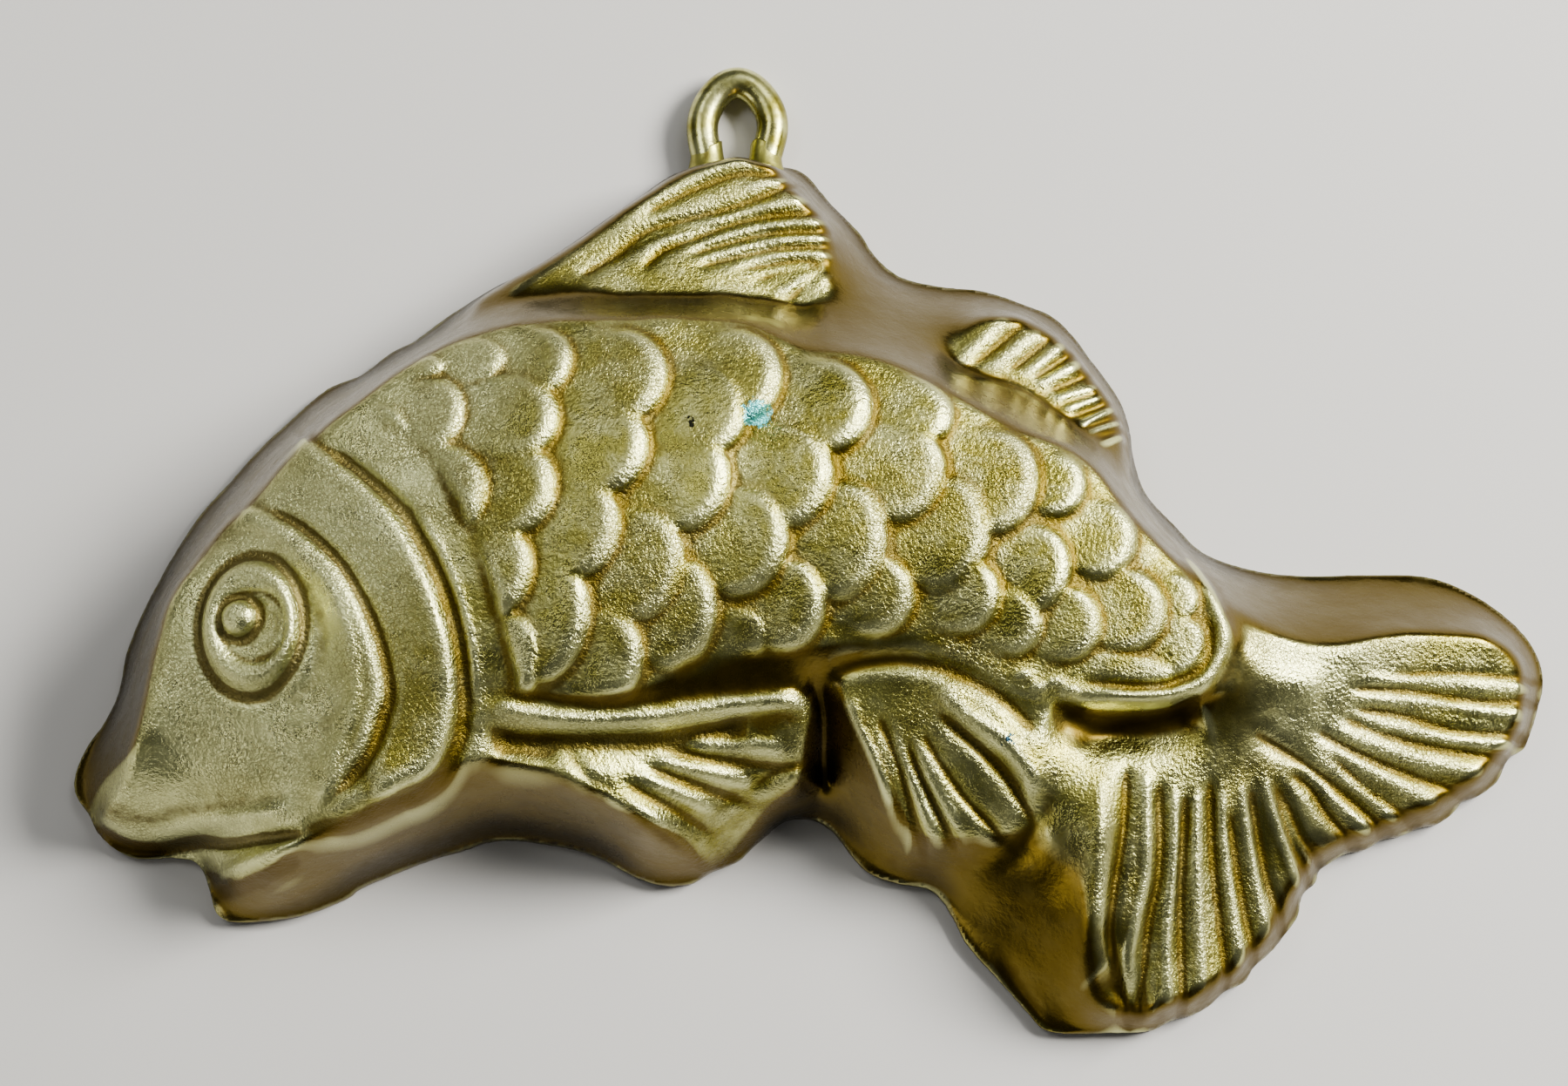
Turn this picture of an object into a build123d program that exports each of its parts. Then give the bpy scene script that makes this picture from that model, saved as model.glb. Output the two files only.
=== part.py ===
from build123d import *
import math
import os

import numpy as np

# Leaping-carp mould: one deep-drawn sheet, open rim down, with a round-wire hanging loop
# brazed to the wall behind the dorsal fin. Millimetres, X along the fish from head to tail,
# Y towards its back, +Z up, origin at the centre of the footprint on the table plane.

# ---- driving dimensions -------------------------------------------------------------------
SHEET = 1.2            # sheet thickness
RIM_BAND = 2.0         # straight band at the trimmed edge before the drafted wall starts
DOME = 0.0165          # crown of head and body, 1/mm
CELL = 5.0             # size of the facets that stand for the pressed relief
SOFTEN = 1.3           # softening of the pressed edges

ROD_D = 6.0            # hanging loop wire
ROD_Z = 3.2            # height of the wire's centre line
LEG_X = (-19.4, -8.4)  # where the two legs meet the wall
LEG_Y = 66.0           # legs are run in to here, and stop on the wall
EYE_X = (-20.1, -7.2)  # centre line of the round at its widest
EYE_Y = 81.0
EYE_TOP = 88.0         # and at its top
BRAZE_Y = 76.0         # how far the brazing reaches along the legs
BRAZE_R = 4.5          # collar of brazing metal at the wall
BRAZE_TIP_R = 3.25     # and where it feathers out along the leg

# ---- outline of the rim on the table plane --------------------------------------------------
RIM = [
    (-127.4, -29), (-126.2, -21.7), (-124.4, -16.3), (-121.7, -10.1), (-118.7, -4.3), (-115.9, 0.6),
    (-112.8, 5.3), (-108.1, 10.6), (-102.5, 17.2), (-96.3, 23.2), (-89.9, 28.8), (-83.8, 31.3), (-78.5, 35.5),
    (-74.2, 37.7), (-69.1, 41.7), (-64, 45.1), (-59.2, 48.1), (-55, 50.2), (-50.6, 52.7), (-46.1, 55.7),
    (-41.6, 58.9), (-36.9, 62.4), (-32.2, 65.6), (-27.4, 69.2), (-22.6, 71.4), (-18.4, 72.4), (-12.9, 73.5),
    (-7.7, 72.1), (-5.2, 71.6), (-2.6, 71.2), (-0.2, 69.6), (2.1, 66.7), (4.5, 63.8), (7, 61.3), (9.8, 58.2),
    (11.8, 54.8), (14.2, 52.2), (17.5, 50), (22.4, 48.7), (27.2, 48), (31.1, 47.7), (34.9, 46.8), (40.2, 44.8),
    (45.4, 42.6), (49.6, 38.4), (52.6, 34), (55.7, 29.8), (58.2, 25.4), (59.6, 20.6), (60.2, 15.2),
    (62.5, 8.4), (67.6, 2.6), (73, -2.7), (81.7, -5.8), (90.2, -6.9), (103.2, -6.8), (114, -7.1),
    (120.6, -9.4), (126.9, -13.3), (131.9, -18.1), (134.3, -22.5), (135, -26.9), (134, -31.3), (132.5, -35.6),
    (131.1, -39), (128, -41.1), (125.8, -45.2), (122.6, -47.7), (119.2, -49), (117.5, -51.1), (114.8, -52.9),
    (111.2, -53.7), (108.3, -55), (104.4, -55.9), (101.7, -57.5), (97.5, -58.5), (94.9, -60.1), (92.6, -61.7),
    (92.1, -63.6), (89.5, -66.1), (88.6, -69.9), (86.1, -73.3), (83.6, -76.3), (80.4, -79.1), (78.6, -81.8),
    (75, -83.5), (72.1, -86.1), (68.8, -87.8), (65.3, -88.7), (61.4, -90.5), (52.7, -90.9), (45.4, -90.9),
    (42, -90), (39.5, -87.3), (34.8, -82), (28.5, -74.9), (26.2, -70.6), (24.1, -67.1), (21.6, -64.9),
    (15.5, -63.7), (10.6, -61.8), (7.3, -58.5), (4.4, -54.6), (1.2, -52.4), (-2, -51.9), (-4.9, -52.4),
    (-8.1, -55), (-11.3, -57.8), (-12.7, -59.3), (-16, -60.9), (-18.4, -61.8), (-20.3, -63.1), (-22.1, -63.9),
    (-26.4, -64.2), (-30.1, -63.4), (-33.9, -61.7), (-38.1, -59.4), (-42.9, -57.7), (-48, -56.7),
    (-54.1, -55.9), (-58.9, -56.2), (-63.5, -57.7), (-69, -59.3), (-76.5, -62.2), (-82.2, -64.7),
    (-84.8, -66.6), (-92.7, -69.6), (-100.2, -70.7), (-105.8, -70.7), (-108.2, -69.3), (-109.2, -66.5),
    (-109.9, -64.2), (-110.8, -61.8), (-112.6, -59.8), (-116.5, -59.1), (-123.5, -59.1), (-126.9, -57.7),
    (-130.2, -54.8), (-132.2, -51.1), (-134.3, -48.2), (-135, -45), (-133.1, -39.2), (-129.9, -34.5),
]

# ---- outline of the raised head and body, crowned inside ------------------------------------
BODY = [
    (-92.1, 9.3), (-88.8, 12.1), (-85.2, 15.2), (-80.7, 18.3), (-71.4, 25.6), (-64.5, 29.2), (-57.5, 31.2),
    (-51.3, 32.4), (-40.7, 32.9), (-28.8, 33.3), (-20.3, 33.2), (-11.1, 32.2), (-4.9, 29.1), (-1, 26.8),
    (4.4, 27), (10.6, 25.9), (16.7, 23.8), (22.7, 20.8), (31.5, 15.7), (36, 13), (41.4, 11.6), (47.3, 9),
    (51, 5.7), (54.5, 1), (58.3, -3.5), (63.7, -8.8), (67.9, -12.4), (71.5, -16), (73.3, -20.3), (73.4, -25.5),
    (71, -30.1), (66.1, -33.2), (56.5, -33.7), (47.9, -33.4), (41, -29.2), (34.8, -26.8), (27.2, -23.7),
    (19.5, -23), (10.4, -23.6), (2.8, -24.8), (-4.9, -26.4), (-12.5, -26.4), (-17.8, -27), (-21.6, -27.8),
    (-25.7, -30.5), (-30.1, -32.9), (-36.7, -34.5), (-46.7, -33.8), (-54.1, -34.3), (-35.1, -51.5),
    (-39.4, -49.7), (-42.6, -48.3), (-46, -46.6), (-50.5, -45.8), (-55, -44.7), (-58.9, -44.9), (-64.4, -46.7),
    (-69.2, -50.4), (-74.9, -52.5), (-79.6, -54.7), (-84.1, -56.4), (-90.8, -59.4), (-95.7, -63.1),
    (-99.6, -64), (-103.6, -65.1), (-127.3, -52.9), (-124.7, -50.7), (-121.8, -47.6), (-119.9, -41.1),
    (-118.5, -36.7), (-117.8, -32.8), (-116.6, -25.5), (-115.4, -21.4), (-114.3, -16.4), (-111.9, -12.8),
    (-109.2, -9.2), (-105.7, -4.7), (-98.9, 1.6), (-95.3, 6.2), (-92.1, 9.3),
]

# ---- height lines: shoulders of the walls and edges of the fins, (x, y, height) --------------
HEIGHT_LINES = {
    "shoulder_head": [
        (-92.1, 9.3, 33), (-95.3, 6.2, 32), (-98.9, 1.6, 32), (-105.7, -4.7, 31), (-109.2, -9.2, 30),
        (-111.9, -12.8, 30), (-114.3, -16.4, 29), (-115.4, -21.4, 29), (-116.6, -25.5, 28),
        (-117.8, -32.8, 28), (-118.5, -36.7, 27), (-119.9, -41.1, 26), (-121.8, -47.6, 22),
        (-124.7, -50.7, 18), (-127.3, -52.9, 14),
    ],
    "shoulder_nape": [
        (-92.1, 9.3, 33), (-88.8, 12.1, 34), (-85.2, 15.2, 35), (-80.7, 18.3, 36), (-71.4, 25.6, 36),
        (-64.5, 29.2, 36),
    ],
    "shoulder_jaw": [
        (-103.6, -65.1, 15), (-99.6, -64, 19), (-95.7, -63.1, 23), (-90.8, -59.4, 27), (-84.1, -56.4, 31),
        (-79.6, -54.7, 32), (-74.9, -52.5, 33), (-69.2, -50.4, 33), (-64.4, -46.7, 33), (-58.9, -44.9, 33),
        (-55, -44.7, 33), (-50.5, -45.8, 33), (-46, -46.6, 32), (-42.6, -48.3, 31), (-39.4, -49.7, 30),
        (-35.1, -51.5, 28), (-31.4, -54.1, 26), (-27.8, -56.2, 24), (-23.9, -57.8, 19), (-20.9, -59.9, 12),
        (-19.1, -61.7, 7),
    ],
    "scale_boundary": [
        (-64.5, 29.5, 36), (-57.5, 31.2, 37), (-51.3, 32.4, 37.5), (-40.7, 32.9, 38), (-28.8, 33.3, 38),
        (-20.3, 33.2, 38), (-11.1, 32.2, 38), (-4.9, 29.1, 38), (-1, 26.8, 38), (4.4, 27, 38),
        (10.6, 25.9, 38), (16.7, 23.8, 38), (22.7, 20.8, 37.5), (31.5, 15.7, 37), (36, 13, 36.5),
        (41.4, 11.6, 36), (47.3, 9, 35), (51, 5.7, 34.5), (54.5, 1, 34), (58.3, -3.5, 33), (63.7, -8.8, 32),
        (67.9, -12.4, 31), (71.5, -16, 30.5), (73.3, -20.3, 30), (73.4, -25.5, 29.5), (71, -30.1, 29.5),
        (66.1, -33.2, 30), (56.5, -33.7, 31), (47.9, -33.4, 32), (41, -29.2, 33), (34.8, -26.8, 34.5),
        (27.2, -23.7, 35.5), (19.5, -23, 36), (10.4, -23.6, 36), (2.8, -24.8, 36.5), (-4.9, -26.4, 37),
        (-12.5, -26.4, 37), (-17.8, -27, 37), (-21.6, -27.8, 37), (-25.7, -30.5, 37), (-30.1, -32.9, 37.5),
        (-36.7, -34.5, 38), (-46.7, -33.8, 38.5), (-54.1, -34.3, 39),
    ],
    "dorsal_low": [
        (-60.6, 39.8, 22), (-52.5, 40.1, 24), (-43.1, 40.7, 25), (-35.7, 40.5, 25), (-29.2, 40.5, 25),
        (-22.3, 40.4, 25), (-15.3, 40.6, 24), (-8.4, 40.2, 23), (-4.1, 39.7, 22), (-0.9, 39.1, 21),
    ],
    "dorsal_right": [
        (-4.9, 64.4, 19.5), (-2.6, 61.6, 19.5), (0.1, 58.5, 20), (2.2, 56.2, 20), (3.1, 53.5, 20),
        (3, 50.2, 20), (2.5, 47.6, 20.5), (2, 44.7, 21), (0.9, 41.7, 21), (-0.9, 39.1, 21),
    ],
    "dorsal_up": [
        (-61.4, 41.2, 20), (-57.2, 43.9, 20), (-52.8, 46.2, 21), (-48.2, 48.8, 21), (-43.5, 51.9, 21),
        (-38.9, 55.2, 21), (-34.3, 58.7, 21), (-29.5, 61.8, 21), (-24.9, 65.3, 20), (-21.1, 67.1, 20),
        (-17.4, 67.9, 20), (-13.1, 68.9, 20), (-8.9, 67.6, 20), (-6, 67.1, 20),
    ],
    "dorsal2_low": [
        (24.5, 30.8, 20), (26.6, 29.2, 20), (30.5, 27.6, 20), (38.1, 24, 20), (45.7, 19.5, 19),
        (53.3, 15.2, 18), (57.3, 11.4, 16),
    ],
    "dorsal2_up": [
        (26.6, 32.4, 19), (31.5, 38.2, 18), (36.7, 39.1, 17), (42, 37.1, 16), (46.6, 33.8, 16),
        (49.7, 30.4, 15), (52.4, 26.8, 15), (54.2, 24.2, 15), (55.9, 21.8, 14), (57, 18.8, 14),
        (57.4, 15.9, 14), (57.4, 11.6, 15),
    ],
    "pect_top": [
        (-58.8, -36.5, 36), (-56.2, -34.3, 35.5), (-50.2, -34.7, 35), (-42.8, -35.9, 34.5),
        (-31.6, -35.9, 33.5), (-22.3, -35.1, 32.5), (-13, -33.7, 31.5), (-6.9, -33.7, 31), (-1, -34.9, 30),
    ],
    "pect_end": [
        (-1, -34.9, 30), (0, -36.7, 29), (-0.3, -38.9, 27.5), (-1.6, -42.4, 25.5), (-2.2, -45.8, 24),
        (-3.3, -48.7, 21), (-5, -50.6, 17), (-6.9, -51.7, 14), (-9.6, -54.3, 9), (-12.8, -57.4, 5),
        (-16, -59.9, 5), (-18.9, -61.7, 6),
    ],
    "pelvic": [
        (3.6, -29.8, 31), (6.6, -28.8, 32.5), (10.4, -28.2, 33), (13.8, -28.1, 33), (18.1, -28.7, 33),
        (21.6, -30.4, 33), (24.9, -31.6, 33), (28.6, -33, 32.5), (34.2, -37, 31.5), (38.6, -41.9, 30),
        (40.7, -47.4, 27.5), (41.7, -51.2, 25.5), (38.5, -54.8, 23), (33.8, -55.9, 22), (28.2, -56.9, 21),
        (21.2, -57.3, 20), (19.3, -56.2, 20), (16.8, -53.2, 21), (14.9, -50.9, 22.5), (12.4, -47.1, 25),
        (10.5, -43.5, 26.5), (8.2, -38.6, 28.5), (6.2, -34.3, 30), (3.6, -29.8, 31),
    ],
    "crease": [
        (1, -30.9, 28), (1.7, -35.4, 22), (1.9, -40.8, 15), (2.2, -46.4, 9),
    ],
    "tail": [
        (71.5, -16.3, 30), (75.7, -17.8, 27), (82.1, -21.2, 25), (88.4, -23.1, 24), (94.9, -23.4, 23),
        (101.4, -21.6, 22), (107.9, -20.5, 20.5), (116.7, -20.2, 18.5), (122.5, -20.8, 17), (127.4, -23.2, 14),
        (129.5, -27.9, 12.5), (129.4, -32.1, 12), (128.1, -36.4, 11.5), (126.5, -39.9, 11),
        (123.8, -42.1, 10.5), (122.2, -44.9, 10), (119, -47.6, 10), (115, -48.9, 10), (112.5, -51.6, 10),
        (108.5, -52.8, 10), (105, -54.4, 10), (100.6, -56, 10), (97.9, -56.9, 10), (94.2, -58.2, 10),
        (90.7, -59.9, 10), (89.4, -62.3, 10), (88.9, -64.1, 10), (86.1, -67, 10), (85.1, -70.1, 10),
        (83.5, -72.9, 10), (80.9, -76.3, 10), (77.7, -78.7, 10), (75.6, -81.3, 10), (73.2, -82.9, 10.5),
        (70.3, -84.5, 11), (67, -86.2, 11.5), (63.6, -87, 12), (60.1, -88.4, 12), (56.4, -87.9, 12),
        (52.7, -87, 12), (50.5, -84.3, 14), (49.4, -79.9, 17), (49.1, -74.7, 20), (49.1, -69.4, 22),
        (49.5, -62, 24), (50.1, -56.5, 25.5), (50.2, -51.7, 26), (49, -47.1, 26),
    ],
    "tail_root": [
        (49, -47.1, 26), (48.3, -42.9, 26), (51.1, -39.8, 25), (57, -39.2, 24.5), (63.1, -38.9, 25),
        (69.2, -36.2, 26), (73.8, -33, 27), (76.2, -26.8, 27.5), (75.7, -17.8, 27),
    ],
}


def smooth_line(pts, step, closed=False):
    p = np.array(pts, float)
    n = len(p)
    out = []
    for i in range(n if closed else n - 1):
        p1, p2 = p[i], p[(i + 1) % n]
        p0 = p[i - 1] if closed or i > 0 else 2 * p1 - p2
        p3 = p[(i + 2) % n] if closed or i + 2 < n else 2 * p2 - p1
        run = np.linalg.norm(p2[:2] - p1[:2])
        t = np.arange(max(1, math.ceil(run / step)))[:, None]
        t = t / len(t)
        m1 = (p2 - p0) / (np.linalg.norm((p2 - p0)[:2]) + 1e-9) * run
        m2 = (p3 - p1) / (np.linalg.norm((p3 - p1)[:2]) + 1e-9) * run
        out.append(
            (2 * t**3 - 3 * t**2 + 1) * p1 + (t**3 - 2 * t**2 + t) * m1
            + (3 * t**2 - 2 * t**3) * p2 + (t**3 - t**2) * m2
        )
    if not closed:
        out.append(p[-1:])
    return np.vstack(out)


def within(poly, X, Y):
    a, b = poly, np.roll(poly, -1, 0)
    mask = np.zeros(X.shape, bool)
    for j, y in enumerate(Y[:, 0]):
        c = ((a[:, 1] <= y) & (b[:, 1] > y)) | ((b[:, 1] <= y) & (a[:, 1] > y))
        if c.any():
            cut = np.sort(a[c, 0] + (y - a[c, 1]) * (b[c, 0] - a[c, 0]) / (b[c, 1] - a[c, 1]))
            mask[j] = np.searchsorted(cut, X[0]) % 2 == 1
    return mask


def soften(H, s):
    r = math.ceil(3 * s)
    k = np.exp(-0.5 * (np.arange(-r, r + 1) / s) ** 2)
    k /= k.sum()
    P = np.pad(H, ((r, r), (0, 0)), mode="edge")
    H = sum(k[i] * P[i : i + H.shape[0]] for i in range(2 * r + 1))
    P = np.pad(H, ((0, 0), (r, r)), mode="edge")
    return sum(k[i] * P[:, i : i + H.shape[1]] for i in range(2 * r + 1))


def sample(H, lo, g, x, y):
    u = np.clip((x - lo[0]) / g, 0, H.shape[1] - 1.001)
    v = np.clip((y - lo[1]) / g, 0, H.shape[0] - 1.001)
    i, j = u.astype(int), v.astype(int)
    u, v = u - i, v - j
    return (H[j, i] * (1 - u) + H[j, i + 1] * u) * (1 - v) + (H[j + 1, i] * (1 - u) + H[j + 1, i + 1] * u) * v


def relief(rim, lines, body, lo, hi, g):
    """Drafted walls and crowned tops as one height field: a taut skin through the height lines."""
    H = None
    for level in (4, 3, 2, 1, 0):
        s = g * 2**level
        nx, ny = math.ceil((hi[0] - lo[0]) / s) + 1, math.ceil((hi[1] - lo[1]) / s) + 1
        X, Y = np.meshgrid(lo[0] + np.arange(nx) * s, lo[1] + np.arange(ny) * s)
        total, count = np.zeros(X.shape), np.zeros(X.shape)
        for line in [*lines, None]:
            q = rim if line is None else smooth_line(line, s / 2)
            i, j = np.rint((q[:, 0] - lo[0]) / s).astype(int), np.rint((q[:, 1] - lo[1]) / s).astype(int)
            np.add.at(total, (j, i), q[:, 2])
            np.add.at(count, (j, i), 1)
        held = (count > 0) | ~within(rim, X, Y)
        at = np.where(count > 0, total / np.maximum(count, 1), 0)
        H = np.where(held, at, 10.0 if H is None else sample(H, lo, s * 2, X, Y))
        crown = within(body, X, Y) * DOME * s * s / 4
        for _ in range(1000 if level == 4 else 300):
            P = np.pad(H, 1, mode="edge")
            H = np.where(held, at, (P[:-2, 1:-1] + P[2:, 1:-1] + P[1:-1, :-2] + P[1:-1, 2:]) / 4 + crown)
    return X, Y, H


G = 1.0
LO, HI = (-144.0, -99.0), (144.0, 99.0)
rim3 = smooth_line([(x, y, 0.0) for x, y in RIM], G / 2, closed=True)
X, Y, H = relief(rim3, list(HEIGHT_LINES.values()), smooth_line([(x, y, 0.0) for x, y in BODY], 1.0, True), LO, HI, G)
H = soften(H, SOFTEN / G)
H = H + RIM_BAND * np.exp(-H / 6)
gy, gx = np.gradient(H, G)
H_IN = H - SHEET * np.sqrt(1 + np.minimum(gx**2 + gy**2, 9.0))

# distance from the rim, positive inside
away = np.full(X.shape, 1e9)
for x, y, _ in rim3:
    away = np.minimum(away, (X - x) ** 2 + (Y - y) ** 2)
away = np.where(within(rim3, X, Y), 1, -1) * np.sqrt(away)
ay, ax = np.gradient(soften(away, 1.0), G)


def height(field, p):
    return float(sample(field, LO, G, np.array([p[0]]), np.array([p[1]]))[0])


def facets(level):
    """The footprint further than level inside the rim, as cells cut to its edge: corners, polygons, edge loop."""
    nx, ny = int((HI[0] - LO[0]) / CELL), int((HI[1] - LO[1]) / CELL)
    node, d = {}, {}
    for i in range(nx + 1):
        for j in range(ny + 1):
            p = [LO[0] + i * CELL, LO[1] + j * CELL]
            v = height(away, p) - level
            if abs(v) < 0.3 * CELL:  # a corner this near the edge is moved onto it
                for _ in range(4):
                    v = height(away, p) - level
                    g = (height(ax, p), height(ay, p))
                    n = math.hypot(*g) + 1e-9
                    p = [p[0] - v * g[0] / n, p[1] - v * g[1] / n]
                v = 0.0
            node[i, j], d[i, j] = p, v
    points, index, polygons = [], {}, []

    def put(key, p):
        if key not in index:
            index[key] = len(points)
            points.append((p[0], p[1]))
        return index[key]

    for i in range(nx):
        for j in range(ny):
            c = [(i, j), (i + 1, j), (i + 1, j + 1), (i, j + 1)]
            if max(d[k] for k in c) <= 0:
                continue
            poly = []
            for a, b in zip(c, c[1:] + c[:1]):
                if d[a] >= 0:
                    poly.append(put(a, node[a]))
                if d[a] * d[b] < 0:
                    u, w = (a, b) if a < b else (b, a)
                    lo_t, hi_t = 0.0, 1.0
                    for _ in range(20):
                        t = (lo_t + hi_t) / 2
                        q = [node[u][m] + t * (node[w][m] - node[u][m]) for m in (0, 1)]
                        if (height(away, q) - level > 0) == (d[u] > 0):
                            lo_t = t
                        else:
                            hi_t = t
                    poly.append(put((u, w), q))
            if len(poly) > 2:
                polygons.append(poly)
    open_edges = {}
    used = {(p[k], p[(k + 1) % len(p)]) for p in polygons for k in range(len(p))}
    for a, b in used:
        if (b, a) not in used:
            open_edges.setdefault(a, []).append(b)
    loops = []
    while open_edges:
        start = next(iter(open_edges))
        loop, at = [start], start
        while True:
            nxt = open_edges[at].pop()
            if not open_edges[at]:
                del open_edges[at]
            if nxt == start:
                break
            loop.append(nxt)
            at = nxt
        loops.append(loop)
    print("facets", level, len(points), len(polygons), [len(k) for k in loops])
    return points, polygons, max(loops, key=len)


def tri(a, b, c):
    return Face(Wire.make_polygon([a, b, c], close=True))


def top_faces(points, polygons, loop, field, edge_z):
    on_edge = set(loop)
    z = [edge_z(p) if k in on_edge else height(field, p) for k, p in enumerate(points)]
    at = [(p[0], p[1], h) for p, h in zip(points, z)]
    faces = []
    for poly in polygons:
        start = 0
        if len(poly) == 4 and abs(z[poly[0]] - z[poly[2]]) > abs(z[poly[1]] - z[poly[3]]):
            start = 1
        order = poly[start:] + poly[:start]
        for k in range(1, len(order) - 1):
            faces.append(tri(at[order[0]], at[order[k]], at[order[k + 1]]))
    return faces, at


def band(loop, at):
    """Upright strip from the table plane to the edge of the relief."""
    faces = []
    for a, b in zip(loop, loop[1:] + loop[:1]):
        p, q = at[a], at[b]
        faces.append(Face(Wire.make_polygon([(p[0], p[1], 0), (q[0], q[1], 0), q, p], close=True)))
    return faces


outer_points, outer_polygons, outer_loop = facets(0.0)
outer_faces, outer_at = top_faces(outer_points, outer_polygons, outer_loop, H, lambda p: RIM_BAND)
inner_points, inner_polygons, inner_loop = facets(SHEET)
inner_faces, inner_at = top_faces(inner_points, inner_polygons, inner_loop, H_IN, lambda p: max(0.6, height(H_IN, p)))
foot = Wire.make_polygon([(*outer_points[k], 0) for k in outer_loop], close=True)
mouth = Wire.make_polygon([(*inner_points[k], 0) for k in inner_loop], close=True)

# the pressed sheet: outer skin, inner skin, and the trimmed edge that it stands on
with BuildPart() as mould_shell:
    add(
        Solid(
            Shell(
                [*outer_faces, *band(outer_loop, outer_at), *inner_faces, *band(inner_loop, inner_at), Face(foot, [mouth])]
            )
        )
    )
mould_shell.part.label = "mould_shell"

# the same form without its hollow, used to stop the loop and the brazing on the wall
with BuildPart() as pressed_form:
    add(Solid(Shell([*outer_faces, *band(outer_loop, outer_at), Face(foot)])))

# horseshoe loop of round wire, its legs stopped on the wall
mid_x = (LEG_X[0] + LEG_X[1]) / 2
with BuildPart() as hanging_loop:
    with BuildLine() as wire:
        Spline(
            (LEG_X[0], LEG_Y, ROD_Z), (LEG_X[0], LEG_Y + 7, ROD_Z), (EYE_X[0], EYE_Y, ROD_Z),
            (mid_x, EYE_TOP, ROD_Z), (EYE_X[1], EYE_Y, ROD_Z),
            (LEG_X[1], LEG_Y + 7, ROD_Z), (LEG_X[1], LEG_Y, ROD_Z),
        )
    with BuildSketch(Plane(origin=wire.line @ 0, z_dir=wire.line % 0)):
        Circle(ROD_D / 2)
    sweep()
    add(pressed_form.part, mode=Mode.SUBTRACT)
hanging_loop.part.label = "hanging_loop"

# collars of brazing metal round each leg, feathering out along the wire
with BuildPart() as braze_fillets:
    for x in LEG_X:
        with BuildSketch(Plane(origin=(x, LEG_Y + 2, ROD_Z), x_dir=(1, 0, 0), z_dir=(0, 1, 0))):
            Circle(BRAZE_R)
        with BuildSketch(Plane(origin=(x, BRAZE_Y, ROD_Z), x_dir=(1, 0, 0), z_dir=(0, 1, 0))):
            Circle(BRAZE_TIP_R)
        loft()
    with BuildSketch(Plane.XY):
        Rectangle(200, 300)
    extrude(amount=-20, mode=Mode.SUBTRACT)
    add(pressed_form.part, mode=Mode.SUBTRACT)
    add(hanging_loop.part, mode=Mode.SUBTRACT)
braze_fillets.part.label = "braze_fillets"

os.makedirs("parts", exist_ok=True)
for piece in (mould_shell, hanging_loop, braze_fillets):
    solids = piece.part.solids()
    print(piece.part.label, len(solids), [round(s.volume) for s in solids], piece.part.bounding_box())
export_step(mould_shell.part, "parts/mould_shell.step")
export_step(hanging_loop.part, "parts/hanging_loop.step")
export_step(braze_fillets.part, "parts/braze_fillets.step")
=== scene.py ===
import math
import bpy
import numpy as np
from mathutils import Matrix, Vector


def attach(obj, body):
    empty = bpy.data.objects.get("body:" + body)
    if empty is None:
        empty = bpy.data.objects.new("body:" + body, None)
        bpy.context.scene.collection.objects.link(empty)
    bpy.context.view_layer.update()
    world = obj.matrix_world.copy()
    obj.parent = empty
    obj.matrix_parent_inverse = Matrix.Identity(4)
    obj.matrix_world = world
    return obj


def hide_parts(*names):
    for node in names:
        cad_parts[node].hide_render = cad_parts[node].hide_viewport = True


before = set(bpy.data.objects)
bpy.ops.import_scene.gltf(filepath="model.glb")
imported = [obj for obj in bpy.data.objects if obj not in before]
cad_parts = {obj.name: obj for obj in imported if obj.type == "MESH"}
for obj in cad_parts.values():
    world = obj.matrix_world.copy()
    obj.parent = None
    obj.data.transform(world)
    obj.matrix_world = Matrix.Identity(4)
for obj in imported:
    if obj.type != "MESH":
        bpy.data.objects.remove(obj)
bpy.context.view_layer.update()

# Brass leaping-carp mould. All plan data in millimetres in the row frame; meshes are built in metres.

SHEET = 1.2
RIM_BAND = 2.0
DOME = 0.0165
SOFTEN = 0.95
OUTER_CELL = 0.57
INNER_CELL = 1.15

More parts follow.
